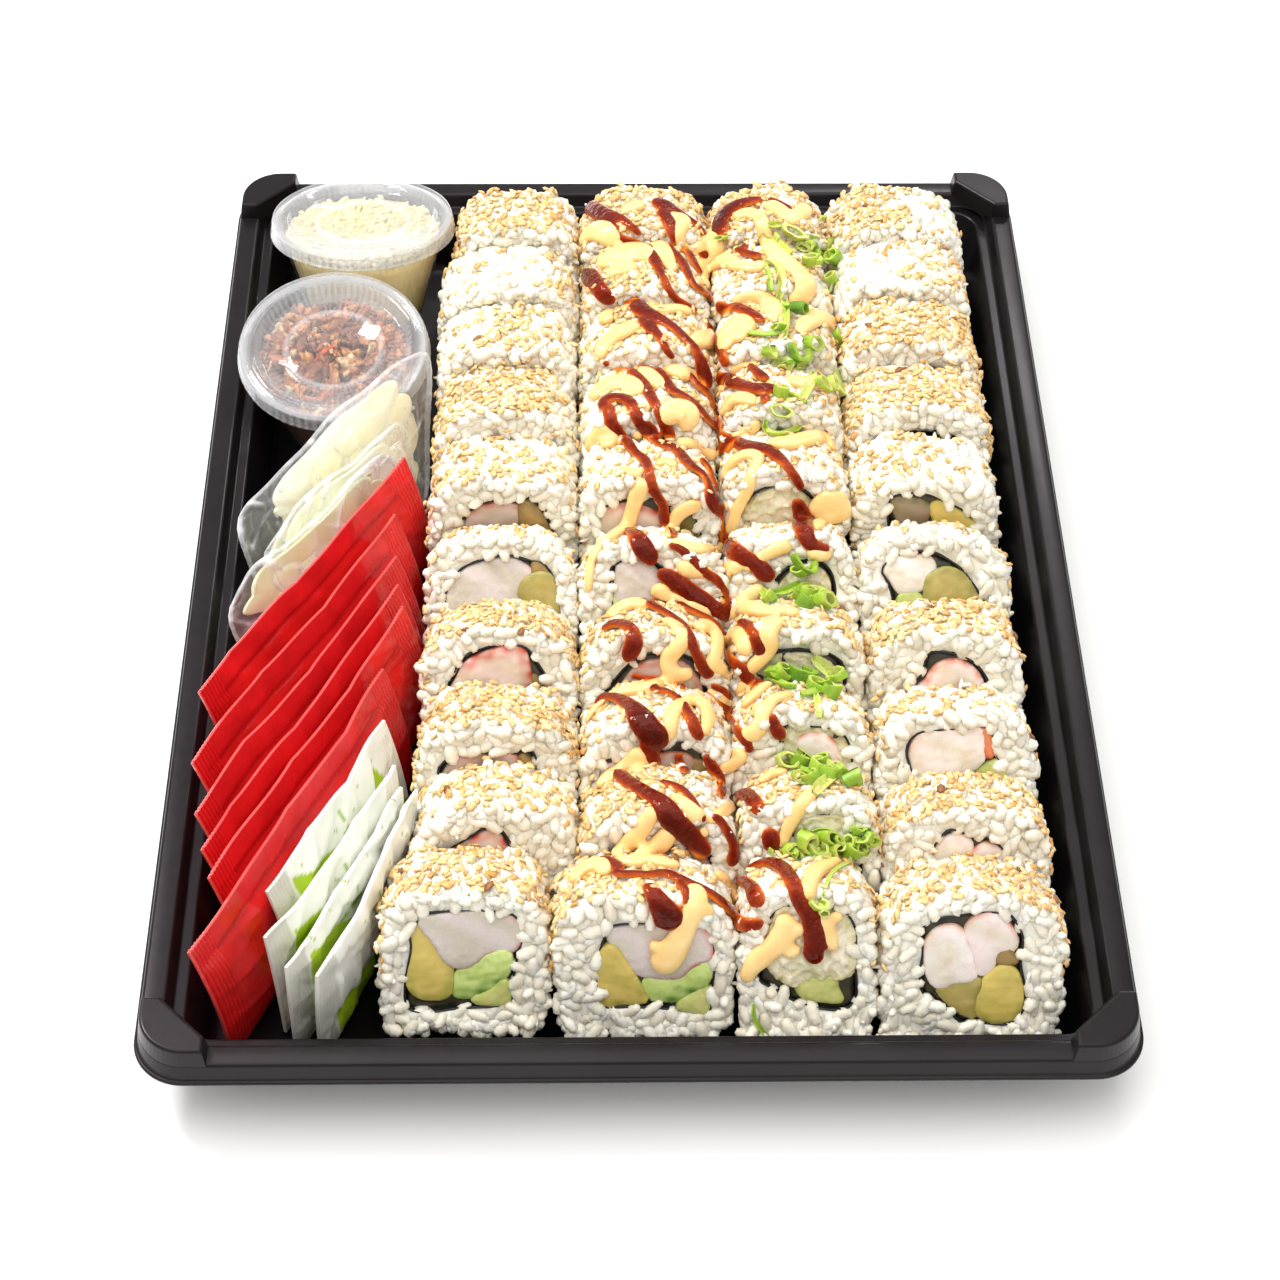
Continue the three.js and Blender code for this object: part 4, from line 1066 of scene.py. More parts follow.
EEL = traced("""
    588,207,5 596,212,7 606,219,7 613,229,6 618,238,4; 604,216,6 620,222,5 632,229,3 641,234,2; 618,236,3
    634,240,3 646,248,4 652,258,5 657,268,5 662,278,3 667,288,3 676,297,3 690,306,3 699,315,4 706,326,3
    716,336,3 722,347,4 726,358,5 729,366,3; 654,202,5 664,210,8 680,218,5 692,226,4 700,234,4 706,244,4
    712,254,4; 661,213,6 668,225,6 675,238,4 684,250,4 689,260,4 694,270,4 699,277,3; 692,250,4 702,255,5
    712,257,3; 656,243,2 665,247,3 673,256,4 681,265,4 686,276,4 692,288,3 704,295,3 716,301,3; 718,303,4
    726,308,6 740,311,5 753,318,5 763,325,4; 764,203,4 748,205,6 734,211,8 725,220,9 722,230,8 728,235,5;
    768,202,2 780,208,4 791,214,4; 736,252,3 748,257,4 762,260,4; 748,244,3 744,254,3; 586,275,4 593,279,8
    599,288,7 607,296,7 616,299,4; 622,302,4 634,305,7 642,314,8 652,319,7 663,325,6 674,332,5 684,342,5
    692,350,5 698,360,5 702,370,6 705,382,6 703,391,4; 642,320,5 650,331,6 659,340,4 666,350,3 674,357,2;
    712,375,4 726,379,7 739,387,6 752,391,6 765,393,8 774,389,5; 766,398,5 764,406,4; 748,366,2 757,375,4
    767,384,5; 671,363,2 682,368,2 688,378,3 695,388,4 705,396,5 710,407,4 718,418,4 725,428,4; 603,363,3
    610,361,2; 614,367,2 627,372,4 638,380,5 646,390,5 652,402,5 658,412,4 665,423,5 669,433,5 673,440,4;
    637,364,2 650,368,3 660,376,4 666,385,5 671,393,5 681,399,5 690,405,5 697,413,6 705,421,5 713,428,4
    721,433,4; 605,413,4 606,404,6 616,401,6 628,404,6 634,412,5 641,421,6 649,429,7 653,438,6 658,446,5
    667,449,6 678,455,5 684,464,6 691,471,6 700,477,5 706,489,6 709,500,7 715,509,7 722,517,6 724,528,5
    727,540,5 730,546,4; 609,408,5 612,421,6 618,432,6 625,441,5 629,449,5 636,457,4 644,463,5 649,473,4
    651,484,5 657,494,4 663,503,4 664,516,5 669,530,4 674,541,3; 697,461,3 705,470,4 709,482,4 713,494,5;
    722,434,4 734,440,6 744,448,6 756,451,7 768,454,7 778,461,6 787,469,4 797,479,4 802,489,3; 720,446,4
    732,450,5; 793,497,4 798,503,6 802,516,8 803,530,9 808,541,7 818,547,5 830,548,4; 628,533,4 635,538,7
    643,548,9 650,557,8 652,566,4; 656,571,4 668,576,7 680,584,8 692,593,8 704,601,8 714,608,7 725,613,7
    736,609,4; 668,546,2 680,549,4 690,556,4 697,565,5 707,573,4 716,580,4 721,590,3 727,598,3 735,606,4;
    726,547,5 735,551,8 744,557,7 755,563,7 764,572,8 775,578,5; 632,603,2 643,603,5 653,610,5 664,616,4
    673,622,4 683,630,4 689,640,5 695,650,4 700,660,5 706,669,6 711,677,5; 650,599,2 662,603,6 675,607,6
    686,613,5 698,618,3 708,623,3 717,631,3 724,641,5 727,652,5 735,660,5 743,669,6 749,679,6 757,687,6
    765,688,4; 742,624,3 751,629,5 757,639,6 762,649,7 764,656,4; 606,634,4 612,628,6 624,628,6 633,634,6
    634,643,8 629,653,7 626,661,3; 641,679,3 649,685,5 655,694,5 665,695,3 674,700,3 681,706,4 685,714,5
    691,724,6 697,733,5 701,739,3; 630,674,2 645,676,2 662,679,3 674,685,4 683,693,3; 704,691,3 712,698,5
    721,706,5 729,714,5 737,724,4 743,734,5 748,743,4 750,752,3; 710,683,2 720,688,3 727,698,3 730,706,3;
    600,709,3 603,701,4 613,700,5 623,704,6 633,711,8 640,720,11 650,730,12 660,739,12 667,744,7; 644,734,7
    650,748,7 654,760,6 656,769,4; 771,713,4 774,724,5 779,732,6 783,739,4; 678,750,3 680,764,4 685,777,4;
    704,752,3 711,763,5 718,776,6 720,788,5 716,799,4; 609,777,3 618,777,6 628,785,7 639,792,7 650,799,8
    661,806,9 670,815,11 680,825,11 690,834,10 699,844,9 706,856,8; 660,786,3 674,790,4 684,796,4 691,805,4
    698,814,4 705,821,3; 708,817,3 717,821,4 723,830,4 729,841,5 731,853,6 730,865,5; 731,802,2 740,797,5
    751,797,6 757,806,7 763,814,6; 766,826,6 771,838,8 770,851,6; 598,863,3 610,865,5 619,872,6 617,878,4
    632,878,4 650,879,4 664,877,5 676,882,6 692,889,5 706,896,6 718,905,7 729,914,7 741,922,7 753,924,6
    763,918,4; 646,888,5 655,897,8 664,908,12 670,918,14 673,928,8; 676,886,4 684,894,4 688,906,4; 740,880,3
    752,886,5 758,898,8 762,907,6; 750,875,3 757,869,4 768,866,6 779,869,7 788,878,7 795,890,7 801,902,7
    809,914,8 814,927,10 815,941,10 817,953,12 824,955,7
""")
# Scallion rings: x, y, radius in mm, tilt of the axis across and up the frame, and shade. Strips: width
# in mm and shade, then x and y at each point. Shade runs from pale to dark green.
RINGS = traced("""
    792,231,3.2,0.2,0.2,0.3 828,280,3.2,-0.1,0.1,0.25 818,252,3,0.7,0.3,0.45 804,246,2.8,-0.5,0.2,0.4
    838,258,2.7,0.3,-0.6,0.5 824,216,2,0.9,0.2,0.35 744,246,1.9,0.6,0.5,0.3 808,268,2.6,-0.4,0.6,0.35
    836,286,2.2,0.8,0.1,0.4 830,338,2.8,0.1,0.2,0.45 800,348,3.3,0.3,0.3,0.6 770,350,2.2,0.8,0.2,0.45
    800,318,2.4,0.8,-0.3,0.75 780,410,3,0.1,0.1,0.35 820,392,2.6,0.9,0.2,0.3 804,560,3.2,0.5,0.5,0.6
    770,600,2.7,0.7,-0.5,0.5 792,600,2.4,-0.8,0.3,0.55 812,604,3,0.3,0.4,0.5 824,612,2.5,0.2,-0.6,0.45
    806,612,2.4,0.9,0.3,0.6 802,685,3.2,0.2,0.5,0.75 776,668,2.3,0.8,0.2,0.5 834,688,2.6,-0.7,0.4,0.5
    818,694,2.6,0.5,0.6,0.55 782,684,2.5,0.8,0.3,0.5 786,756,2.9,0.3,0.5,0.35 806,766,2.5,0.7,0.3,0.6
    822,776,2.7,0.4,0.6,0.45 838,778,2.2,0.9,0.1,0.5 812,786,2.3,-0.7,0.4,0.4 848,788,2.4,0.8,0.2,0.5
    792,850,2.8,0.8,0.2,0.4 806,838,2.7,0.9,-0.2,0.35 818,846,2.6,0.3,0.7,0.35 830,834,2.5,0.7,0.3,0.45
    843,834,2.4,0.2,0.2,0.5 838,848,2.7,0.8,0.4,0.4 854,846,2.4,0.4,0.7,0.45 864,832,2.3,-0.8,0.3,0.55
    860,842,2.2,0.6,-0.5,0.5 818,900,1.9,0.8,0.2,0.3
""")
STRIPS = traced("""
    3.2,0.35 762,232 770,242 780,252 790,260; 2,0.4 768,226 780,226 790,222; 2.4,0.25 766,264 778,270
    782,284 776,298; 2.2,0.35 836,240 832,250 824,262; 1.6,0.45 764,268 768,278 770,290; 2,0.45 800,234
    812,240 826,244; 3,0.3 786,306 787,320 785,344; 1.8,0.45 748,337 762,339 780,338; 4.2,0.08 774,356
    782,362 790,374; 2.2,0.3 796,372 806,362; 4.4,0.15 838,360 842,376 848,396; 2,0.5 826,376 834,392
    844,410; 2.6,0.2 812,378 808,392 800,406; 1.9,0.4 764,418 764,432 774,440 790,436 800,424; 2,0.4 784,398
    796,400 806,406; 1.6,0.35 764,424 774,432 784,430; 2,0.5 774,592 788,590 800,582; 2.2,0.45 762,588
    766,598 776,606; 1.8,0.5 796,566 806,574 816,562; 1.6,0.45 808,600 818,596 828,602; 2.2,0.5 768,676
    780,690 796,692; 2.2,0.45 800,700 816,698 832,688; 1.8,0.3 816,700 818,708 820,718; 2.8,0.18 812,656
    822,664 830,672; 1.8,0.6 784,676 800,678 818,682; 2.2,0.3 798,746 806,754 818,762; 1.8,0.4 778,758
    788,764 798,762; 2.2,0.5 816,772 830,772 842,782; 3,0.25 832,782 822,790 812,798; 1.8,0.5 840,786
    850,790 858,788; 1.8,0.55 800,774 812,778 824,786; 3,0.35 803,826 805,838 804,850; 2,0.4 812,830 824,828
    838,834; 2.6,0.4 784,846 790,856 796,862; 2.2,0.45 846,842 858,848 868,852; 2,0.35 826,850 840,854
    850,850; 1.8,0.5 850,830 860,826 868,828; 0.9,0.35 850,865 838,871 828,882 823,896; 1,0.5 753,1002
    752,1014 760,1028 772,1037 786,1034
""")
# Sauce: look, strands, lift, flatness, widening, extra half width in pixels, voxel, colours by depth.
SAUCES = {
    "spicy_mayo": ("mayo", MAYO, 0.95, 0.6, 1.34, 1.5, 0.62,
                   [(0.4, (238, 180, 108)), (1.3, (250, 208, 138)), (2.4, (254, 220, 154))]),
    "eel_sauce": ("eel_sauce", EEL, 1.3, 0.45, 1.16, 0.9, 0.52,
                  [(1.1, (228, 140, 42)), (1.6, (190, 80, 18)), (2.1, (124, 30, 6)), (2.9, (80, 13, 4))]),
}
GREENS = [(0.0, (222, 226, 146)), (0.25, (194, 210, 92)), (0.45, (152, 190, 56)), (0.75, (98, 148, 40)),
          (1.0, (62, 106, 32))]
LEAF_THICK = 0.6


def graded(stops, at):
    """Colours between stops of (position, 8-bit colour)."""
    places, colours = zip(*((place, srgb(*colour)) for place, colour in stops))
    return np.stack([np.interp(at, places, channel) for channel in zip(*colours)], -1)


def skin_surface(proud=0.15):
    """The slices' smooth outer surface, for rays to meet: a BVH tree in millimetres."""
    turns = np.linspace(0, 2 * math.pi, 61)[:-1]
    ends = np.array([0.02, 0.5, 1.4, 2.6])
    parts = []
    for roll in ROLLS:
        stops = np.concatenate([ends, np.linspace(5, roll.thick - 5, 4), roll.thick - ends[::-1]])
        rings = [(*roll.outline(turns, float(round_off(min(w, roll.thick - w))) - proud), w) for w in stops]
        u, v = rings[0][0] * 0.02, MID_HEIGHT + (rings[0][1] - MID_HEIGHT) * 0.02
        rings = [(u, v, -proud), *rings, (u, v, roll.thick + proud)]
        faces = grid_faces(len(rings), len(turns), wrap_columns=True)[:, ::-1]
        parts.append((np.concatenate([roll.world(*ring) for ring in rings]), faces))
    points, faces = join(parts)
    return BVHTree.FromPolygons(points.tolist(), faces)


def land(tree, px, py):
    """Where the camera's ray through a pixel meets the surface, which way it faces there and its scale."""
    spot, normal, _, distance = tree.ray_cast(Vector(CAMERA_AT), Vector(ray(px, py)))
    if spot is None:
        return None
    spot, normal = np.array(spot), np.array(normal)
    return spot, normal if normal @ (CAMERA_AT - spot) > 0 else -normal, distance / FOCAL_PX


def flow(points, step=2.0):
    """A smooth run through points of any width, one sample for each step along it."""
    p = np.vstack([2 * points[0] - points[1], points, 2 * points[-1] - points[-2]])
    out = []
    for before, here, after, beyond in zip(p, p[1:], p[2:], p[3:]):
        n = max(2, int(np.hypot(*(after[:2] - here[:2])) / step))
        out.append(cubic(before, here, after, beyond, (np.arange(n) / n)[:, None]))
    return np.concatenate(out + [points[-1:]])


def relax(centres, ups, times):
    """Evens out a run in place."""
    for _ in range(times):
        centres[1:-1] = (centres[:-2] + 2 * centres[1:-1] + centres[2:]) / 4
        ups[1:-1] = unit(ups[:-2] + ups[1:-1] + ups[2:])


def crosswise(centres, ups):
    """Directions across a run and up from it, square to it."""
    along = unit(np.gradient(centres, axis=0))
    side = unit(np.cross(along, ups))
    return side, np.cross(side, along)


def sweep(centres, ups, wide, high, sides=10):
    """A closed tube with an oval section along a run of points."""
    side, over = crosswise(centres, ups)
    turn = around(sides)
    tall = np.sign(np.sin(turn)) * np.abs(np.sin(turn)) ** 0.75
    ring = (side[:, None] * (np.cos(turn)[None, :, None] * wide[:, None, None])
            + over[:, None] * (tall[None, :, None] * high[:, None, None]))
    last = (len(centres) - 1) * sides
    faces = grid_faces(len(centres), sides, wrap_columns=True).tolist()
    faces += [list(range(sides)), list(range(last, last + sides))[::-1]]
    return (centres[:, None] + ring).reshape(-1, 3), faces


def led_in(run):
    """A run with one more point before its first, a little way down into the gap."""
    centres, ups = run[:2]
    before = centres[0] + unit(centres[0] - centres[1]) * 2.4 - ups[0] * 0.8
    return [np.concatenate(pair) for pair in zip([before[None], *(a[:1] for a in run[1:])], run)]


def strand_runs(tree, strand, lift, flatness, widen, extra):
    """A traced strand in the world, broken where it falls from one slice to another."""
    runs, run = [], []
    for px, py, half in flow(strand):
        found = land(tree, px, py)
        if found is None:
            continue
        spot, normal, scale = found
        half = max(half * widen + extra, 2.1 + extra) * scale
        if run and np.linalg.norm(spot - run[-1][0]) > 5.0 + half:
            runs.append(run)
            run = []
        run.append((spot + normal * lift, normal, half, float(np.clip(half * flatness, 0.9, 1.7))))
    runs = [run for run in runs + [run] if len(run) > 1]
    for number, run in enumerate(runs):
        run = [np.array(column) for column in zip(*run)]
        relax(*run[:2], 3)
        from_gap, into_gap = number > 0, number < len(runs) - 1
        if from_gap:
            run = led_in(run)
        if into_gap:
            run = [a[::-1] for a in led_in([a[::-1] for a in run])]
        centres, ups, wide, high = run
        gone = np.concatenate([[0], np.cumsum(np.linalg.norm(np.diff(centres, axis=0), axis=1))])
        for distance, hidden in ((gone, from_gap), (gone[-1] - gone, into_gap)):
            close = np.clip(distance / (wide * 0.9), 1.0 if hidden else 0, 1)
            rounding = np.sqrt(1 - (1 - close) ** 2).clip(0.25)
            wide, high = wide * rounding, high * rounding
        yield centres, ups, wide, high


def build_sauce(name, tree):
    """Strands merged into one skin, tinted by how thick the sauce lies."""
    look, strands, *shape, voxel, colours = SAUCES[name]
    tubes = [sweep(*run) for strand in strands for run in strand_runs(tree, strand, *shape)]
    skin, quads = remeshed(*join(tubes), voxel)
    thick = np.array([tree.find_nearest(Vector(p))[3] for p in skin])
    make_piece(name, skin, quads, tinted_look(look), "rice", tint=graded(colours, thick))


def green(shade):
    return graded(GREENS, np.clip(shade, 0, 1))


def leaf_ring(centre, axis, radius, tall, wall, shade, squash, opening):
    """A slice of scallion leaf: a thin curled wall, cut through when it has an opening."""
    helper = unit(np.cross(axis, [0.3, 0.9, 0.2]))
    other = np.cross(axis, helper)
    closed = opening <= 0
    turn = np.linspace(0, 2 * math.pi - opening, 22 + (not closed))
    turn = turn[:-1] if closed else turn
    points, tint = [], []
    for reach, height, tone in ((1, -0.5, 0), (1.03, 0, 0), (1, 0.5, -0.12), (1 - wall, 0.5, -0.3),
                                (1 - wall, -0.5, -0.3)):
        wave = 1 + 0.14 * np.sin(2 * turn + radius * 9) + 0.06 * np.sin(5 * turn + shade * 20)
        skew = height * tall * (1 + 0.35 * np.sin(turn + radius * 5))
        wide = radius * reach * wave
        points.append(centre + (np.cos(turn) * wide)[:, None] * helper
                      + (np.sin(turn) * wide * squash)[:, None] * other + skew[:, None] * axis)
        tint.append(np.tile(green(shade + tone), (len(turn), 1)))
    faces = grid_faces(len(points), len(turn), wrap_columns=closed, wrap_rows=True)
    return (np.concatenate(points), faces), np.concatenate(tint)


def leaf_strip(centres, ups, width, shade):
    """A folded strip of scallion leaf along a run."""
    side, over = crosswise(centres, ups)
    ends = np.linspace(0, 1, len(centres))
    half = side * (0.55 + 0.45 * np.sin(np.pi * ends) ** 0.5)[:, None] * width / 2
    rise, sink = 0.32 * width, -0.1 * width
    corners = [half + over * rise, over * sink, over * rise - half, over * (rise + LEAF_THICK) - half,
               over * (LEAF_THICK + sink), half + over * (rise + LEAF_THICK)]
    points = np.stack([centres + c for c in corners], 1).reshape(-1, 3)
    tint = np.array([green(shade + tone) for tone in (0, 0.1, 0, -0.15, -0.1, -0.15)])
    last = (len(centres) - 1) * 6
    caps = [[end[i] for i in quad] for end in (range(5, -1, -1), range(last, last + 6))
            for quad in ((0, 1, 2, 3), (3, 4, 5, 0))]
    faces = grid_faces(len(centres), 6, wrap_columns=True).tolist() + caps
    return (points, faces), np.tile(tint, (len(centres), 1))


def build_scallions(look, tree):
    leaves = []
    more = [(px + rng.normal(0, 9), py + rng.normal(0, 6), radius * rng.uniform(0.6, 0.9), rng.uniform(-1, 1),
             rng.uniform(-1, 1), shade) for px, py, radius, _, _, shade in RINGS[0]]
    for px, py, radius, across, rise, shade in [*RINGS[0], *more]:
        found = land(tree, px, py)
        if found is None:
            continue
        spot, normal, _ = found
        axis = unit(normal + 0.4 * unit(CAMERA_AT - spot) + 1.5 * across * RIGHT + 1.3 * rise * UP
                    + rng.normal(0, 0.2, 3))
        radius = radius * 1.16
        tall = rng.uniform(2.2, 3.8)
        lie = np.clip(abs(axis @ normal), 0, 1)
        lift = radius * 0.75 * math.sqrt(1 - lie ** 2) + tall * 0.4 * lie + 1.0
        opening = rng.choice([0.0, 0.0, 1.4, 2.4])
        leaves.append(leaf_ring(spot + normal * lift, axis, radius, tall, rng.uniform(0.24, 0.38),
                                shade + rng.uniform(-0.08, 0.08), rng.uniform(0.48, 0.95), opening))
    for (width, shade), *run in STRIPS:
        found = [f for f in (land(tree, px, py) for px, py in flow(np.array(run), 4)) if f is not None]
        if len(found) < 3:
            continue
        spots, ups, _ = map(np.array, zip(*found))
        centres = spots + ups * (0.7 + width * 0.12)
        relax(centres, ups, 4)
        tilt = rng.uniform(-0.5, 0.5)
        ups = unit(ups + tilt * np.cross(unit(np.gradient(centres, axis=0)), ups))
        leaves.append(leaf_strip(centres, ups, width * 1.15, shade))
    parts, tints = zip(*leaves)
    piece = make_piece("scallions", *join(parts), look, "rice", tint=np.concatenate(tints))
    piece.data.set_sharp_from_angle(angle=math.radians(50))


# ---- Portion cups ---------------------------------------------------------------------------

CUP_HEIGHT = 33.2
CUP_WALL = 0.9
CUP_GAP = 0.35
BASE_RADIUS = 18.2
TOP_RADIUS = 26.8
FLARE = TOP_RADIUS - BASE_RADIUS
RIM_RADIUS = 28.2
LID_RADIUS = 29.6
PLUG_RADIUS = TOP_RADIUS - CUP_WALL - CUP_GAP - 0.6
CUP_SIDES = 288
CUP_RIBS = 72
# Cup: x, y, lean in degrees and how full it is.
CUPS = {"cup_back": (-84.8, 131.5, -14.0, 0.9), "cup_front": (-90.6, 84.8, 9.0, 0.62)}
# Closed sections, from the middle of the underside outwards and back inside: radius from a base, height.
TUB = [
    (3, 0.5), (BASE_RADIUS - 3.4, 0.45), (BASE_RADIUS - 2.2, 0), (BASE_RADIUS - 0.5, 0), (BASE_RADIUS, 0.6),
    *((BASE_RADIUS + FLARE * t, 0.6 + t * (CUP_HEIGHT - 1.6)) for t in np.linspace(0.08, 0.84, 9)),
    *((TOP_RADIUS + out, CUP_HEIGHT - down) for out, down in ((-0.7, 4.4), (-0.1, 3.9), (0, 1.0))),
    *((RIM_RADIUS + out, CUP_HEIGHT - down) for out, down in ((-0.3, 0.9), (0, 0.5), (-0.4, 0))),
    *((TOP_RADIUS + out, CUP_HEIGHT - down) for out, down in ((-0.6, 0.1), (-1.0, 3.6))),
    *((BASE_RADIUS - 0.9 + FLARE * t, 0.9 + t * (CUP_HEIGHT - 1.6)) for t in np.linspace(0.8, 0.05, 8)),
    (BASE_RADIUS - 2, 0.9), (3, 1.1),
]
LID = [(base + out, CUP_HEIGHT + CUP_GAP + up) for base, run in (
    (0, [(2, -1.35), (12.8, -1.3), (13.5, -1.25), (14.1, -0.75), (14.9, -0.75), (15.5, -1.25),
         (16.2, -1.35)]),
    (PLUG_RADIUS, [(-3.2, -1.35), (-2.4, -1.1), (-1.4, 1.3), (-0.4, 1.8), (0.8, 1.8), (1.4, 1.3),
                   (2.2, 1.3)]),
    (RIM_RADIUS, [(-0.4, 1.75), (0.3, 1.5)]),
    (LID_RADIUS, [(-0.5, -0.4), (-0.15, -3.4), (0, -3.6), (-0.1, -4.0), (-0.8, -3.7)]),
    (RIM_RADIUS, [(0.45, -0.2), (-0.2, 0.6)]),
    (PLUG_RADIUS, [(0.6, 0.75), (-0.4, 0.8), (-1.8, -1.9)]),
    (0, [(2, -2.1)]),
) for out, up in run]
# How milky the plastic is by radius: a faint haze, and more towards the rings and rims as painted highlight.
TUB_MIST = [(0, 0.02), (20, 0.02), (26, 0.03), (TOP_RADIUS, 0.08), (RIM_RADIUS, 0.22)]
LID_MIST = [(0, 0.02), (13.4, 0.02), (14.1, 0.2), (14.6, 0.24), (15.2, 0.2), (16.0, 0.02), (21.0, 0.03),
            (PLUG_RADIUS - 1.4, 0.16), (PLUG_RADIUS - 0.4, 0.07), (PLUG_RADIUS + 1.0, 0.12),
            (RIM_RADIUS, 0.2), (LID_RADIUS, 0.12)]
SHRED_STEPS = 6
SHRED_POINTS = SHRED_STEPS * 4
CRUMBS_ON_TOP = 520
CRUMBS_AT_WALL = 420
SLIVERS = 26
CRUMB_TONES = [(176, 112, 68), (148, 90, 54), (206, 146, 92), (222, 152, 80), (228, 200, 158), (122, 70, 44),
               (192, 122, 70), (232, 172, 104)]
CRUMB_SHARES = [0.2, 0.17, 0.17, 0.09, 0.09, 0.1, 0.12, 0.06]
SLIVER_TONES = [(236, 212, 168), (224, 140, 60), (208, 96, 44)]
SLIVER_SHARES = [0.6, 0.25, 0.15]


class Cup:
    """Where a cup stands and how it leans. Its own Z runs up its middle."""

    def __init__(self, name):
        x, y, tilt, self.fill = CUPS[name]
        self.sin, self.cos = math.sin(math.radians(tilt)), math.cos(math.radians(tilt))
        self.at = np.array([x, y, REST_Z + BASE_RADIUS * abs(self.sin)])

    def world(self, points):
        x, y, z = np.asarray(points, float).T
        return self.at + np.column_stack([x, y * self.cos - z * self.sin, y * self.sin + z * self.cos])


def inner_radius(z):
    return BASE_RADIUS - CUP_WALL - CUP_GAP + FLARE * (z - CUP_WALL) / (CUP_HEIGHT - CUP_WALL)


def polar(reach, turn, z):
    """Points about Z."""
    return np.stack(np.broadcast_arrays(reach * np.cos(turn), reach * np.sin(turn), z), -1)


def lathe(profile, ribs):
    """A closed body turned about Z; ribs(radius, z) says how far each turn of it is ribbed."""
    turn = around(CUP_SIDES)
    rings = [polar(radius + ribs(radius, z) * np.sin(turn * CUP_RIBS), turn, z) for radius, z in profile]
    return np.concatenate(rings), tube_faces(len(rings), CUP_SIDES)


def tub_ribs(_, z):
    return 0.2 * np.exp(-((z - CUP_HEIGHT + 6.5) / 2.6) ** 2)


def lid_ribs(radius, _):
    return 0.05 if radius > RIM_RADIUS + 0.4 else 0.0


def wall_mist(profile, mist):
    """How milky each turn of the wall is: a faint haze all over, and more on the ring crests, the rim and the
    skirt as painted highlight.
    """
    radius = np.array([radius for radius, _ in profile])
    rib = 0.45 * np.sin(around(CUP_SIDES) * CUP_RIBS)
    ribbed = (np.abs(radius - PLUG_RADIUS + 1.6) < 1.0) | (radius > RIM_RADIUS + 0.4)
    share = np.interp(radius, *zip(*mist))[:, None] * (1 + rib * ribbed[:, None])
    return share.reshape(-1, 1)


def build_cups(look):
    for name in CUPS:
        for part, profile, ribs, mist in (("", TUB, tub_ribs, TUB_MIST), ("_lid", LID, lid_ribs, LID_MIST)):
            points, faces = lathe(profile, ribs)
            make_piece(f"{name}_shell{part}", Cup(name).world(points), faces, look, "clear_plastic",
                       [name + part], tint=wall_mist(profile, mist))


def heap_skin(top, lump, seed, sides=72):
    """The body of what fills a cup: it reaches just into the wall, under an uneven top."""
    turn = around(sides)
    edge = top - 2.5
    rings = [polar(inner_radius(z) + CUP_GAP + 0.25, turn, z) for z in np.linspace(CUP_WALL - 0.2, edge, 8)]
    for share in (0.93, 0.82, 0.68, 0.52, 0.36, 0.2, 0.06):
        ring = polar((inner_radius(edge) + 0.5) * share, turn, top - 2.5 * share ** 5 - 0.6)
        x, y, _ = ring.T
        ring[:, 2] += lump * np.sin(x * 0.45 + seed) * np.cos(y * 0.4 + seed * 2)
        ring[:, 2] += 0.4 * lump * np.sin(x * 1.1 + y * 0.9)
        rings.append(ring)
    return np.concatenate(rings), tube_faces(len(rings), sides)


def kept_in(points, ceiling):
    """Pulls the points of a cup's filling in from its wall and its lid."""
    reach = np.maximum(np.hypot(points[:, 0], points[:, 1]), 1e-6)
    points[:, :2] *= np.minimum(1, (inner_radius(points[:, 2]) + 0.1) / reach)[:, None]
    points[:, 2] = np.minimum(points[:, 2], ceiling)


def upward(count, spread):
    return unit(np.column_stack([rng.normal(0, spread, count), rng.normal(0, spread, count), np.ones(count)]))


def shreds(count, length, width, spot_at, curl):
    """Thin curved strips with square sections: points and faces."""
    spots, ups = spot_at(count)
    helper = unit(rng.normal(size=(count, 3)))
    along = unit(np.cross(ups, helper))
    side = np.cross(ups, along)
    t = np.linspace(-1, 1, SHRED_STEPS)[None, :, None]
    size = rng.uniform(*length, (count, 1, 1)) / 2
    bend = rng.normal(0, curl, (count, 1, 1))
    droop = rng.normal(0.1, curl * 0.5, (count, 1, 1))
    middle = (spots[:, None] + along[:, None] * t * size + side[:, None] * (t ** 2 - 0.4) * bend * size
              - ups[:, None] * (t ** 2) * droop * size)
    half = rng.uniform(*width, (count, 1, 1)) / 2 * (1 - 0.35 * t ** 4)
    flat = half * rng.uniform(0.4, 0.8, (count, 1, 1))
    corners = [middle + side[:, None] * half * a + ups[:, None] * flat * b
               for a, b in ((1, 1), (-1, 1), (-1, -1), (1, -1))]
    one = np.array(tube_faces(SHRED_STEPS, 4))
    faces = one[None] + (np.arange(count) * SHRED_POINTS)[:, None, None]
    return np.stack(corners, 2).reshape(-1, 3), faces.reshape(-1, 4)


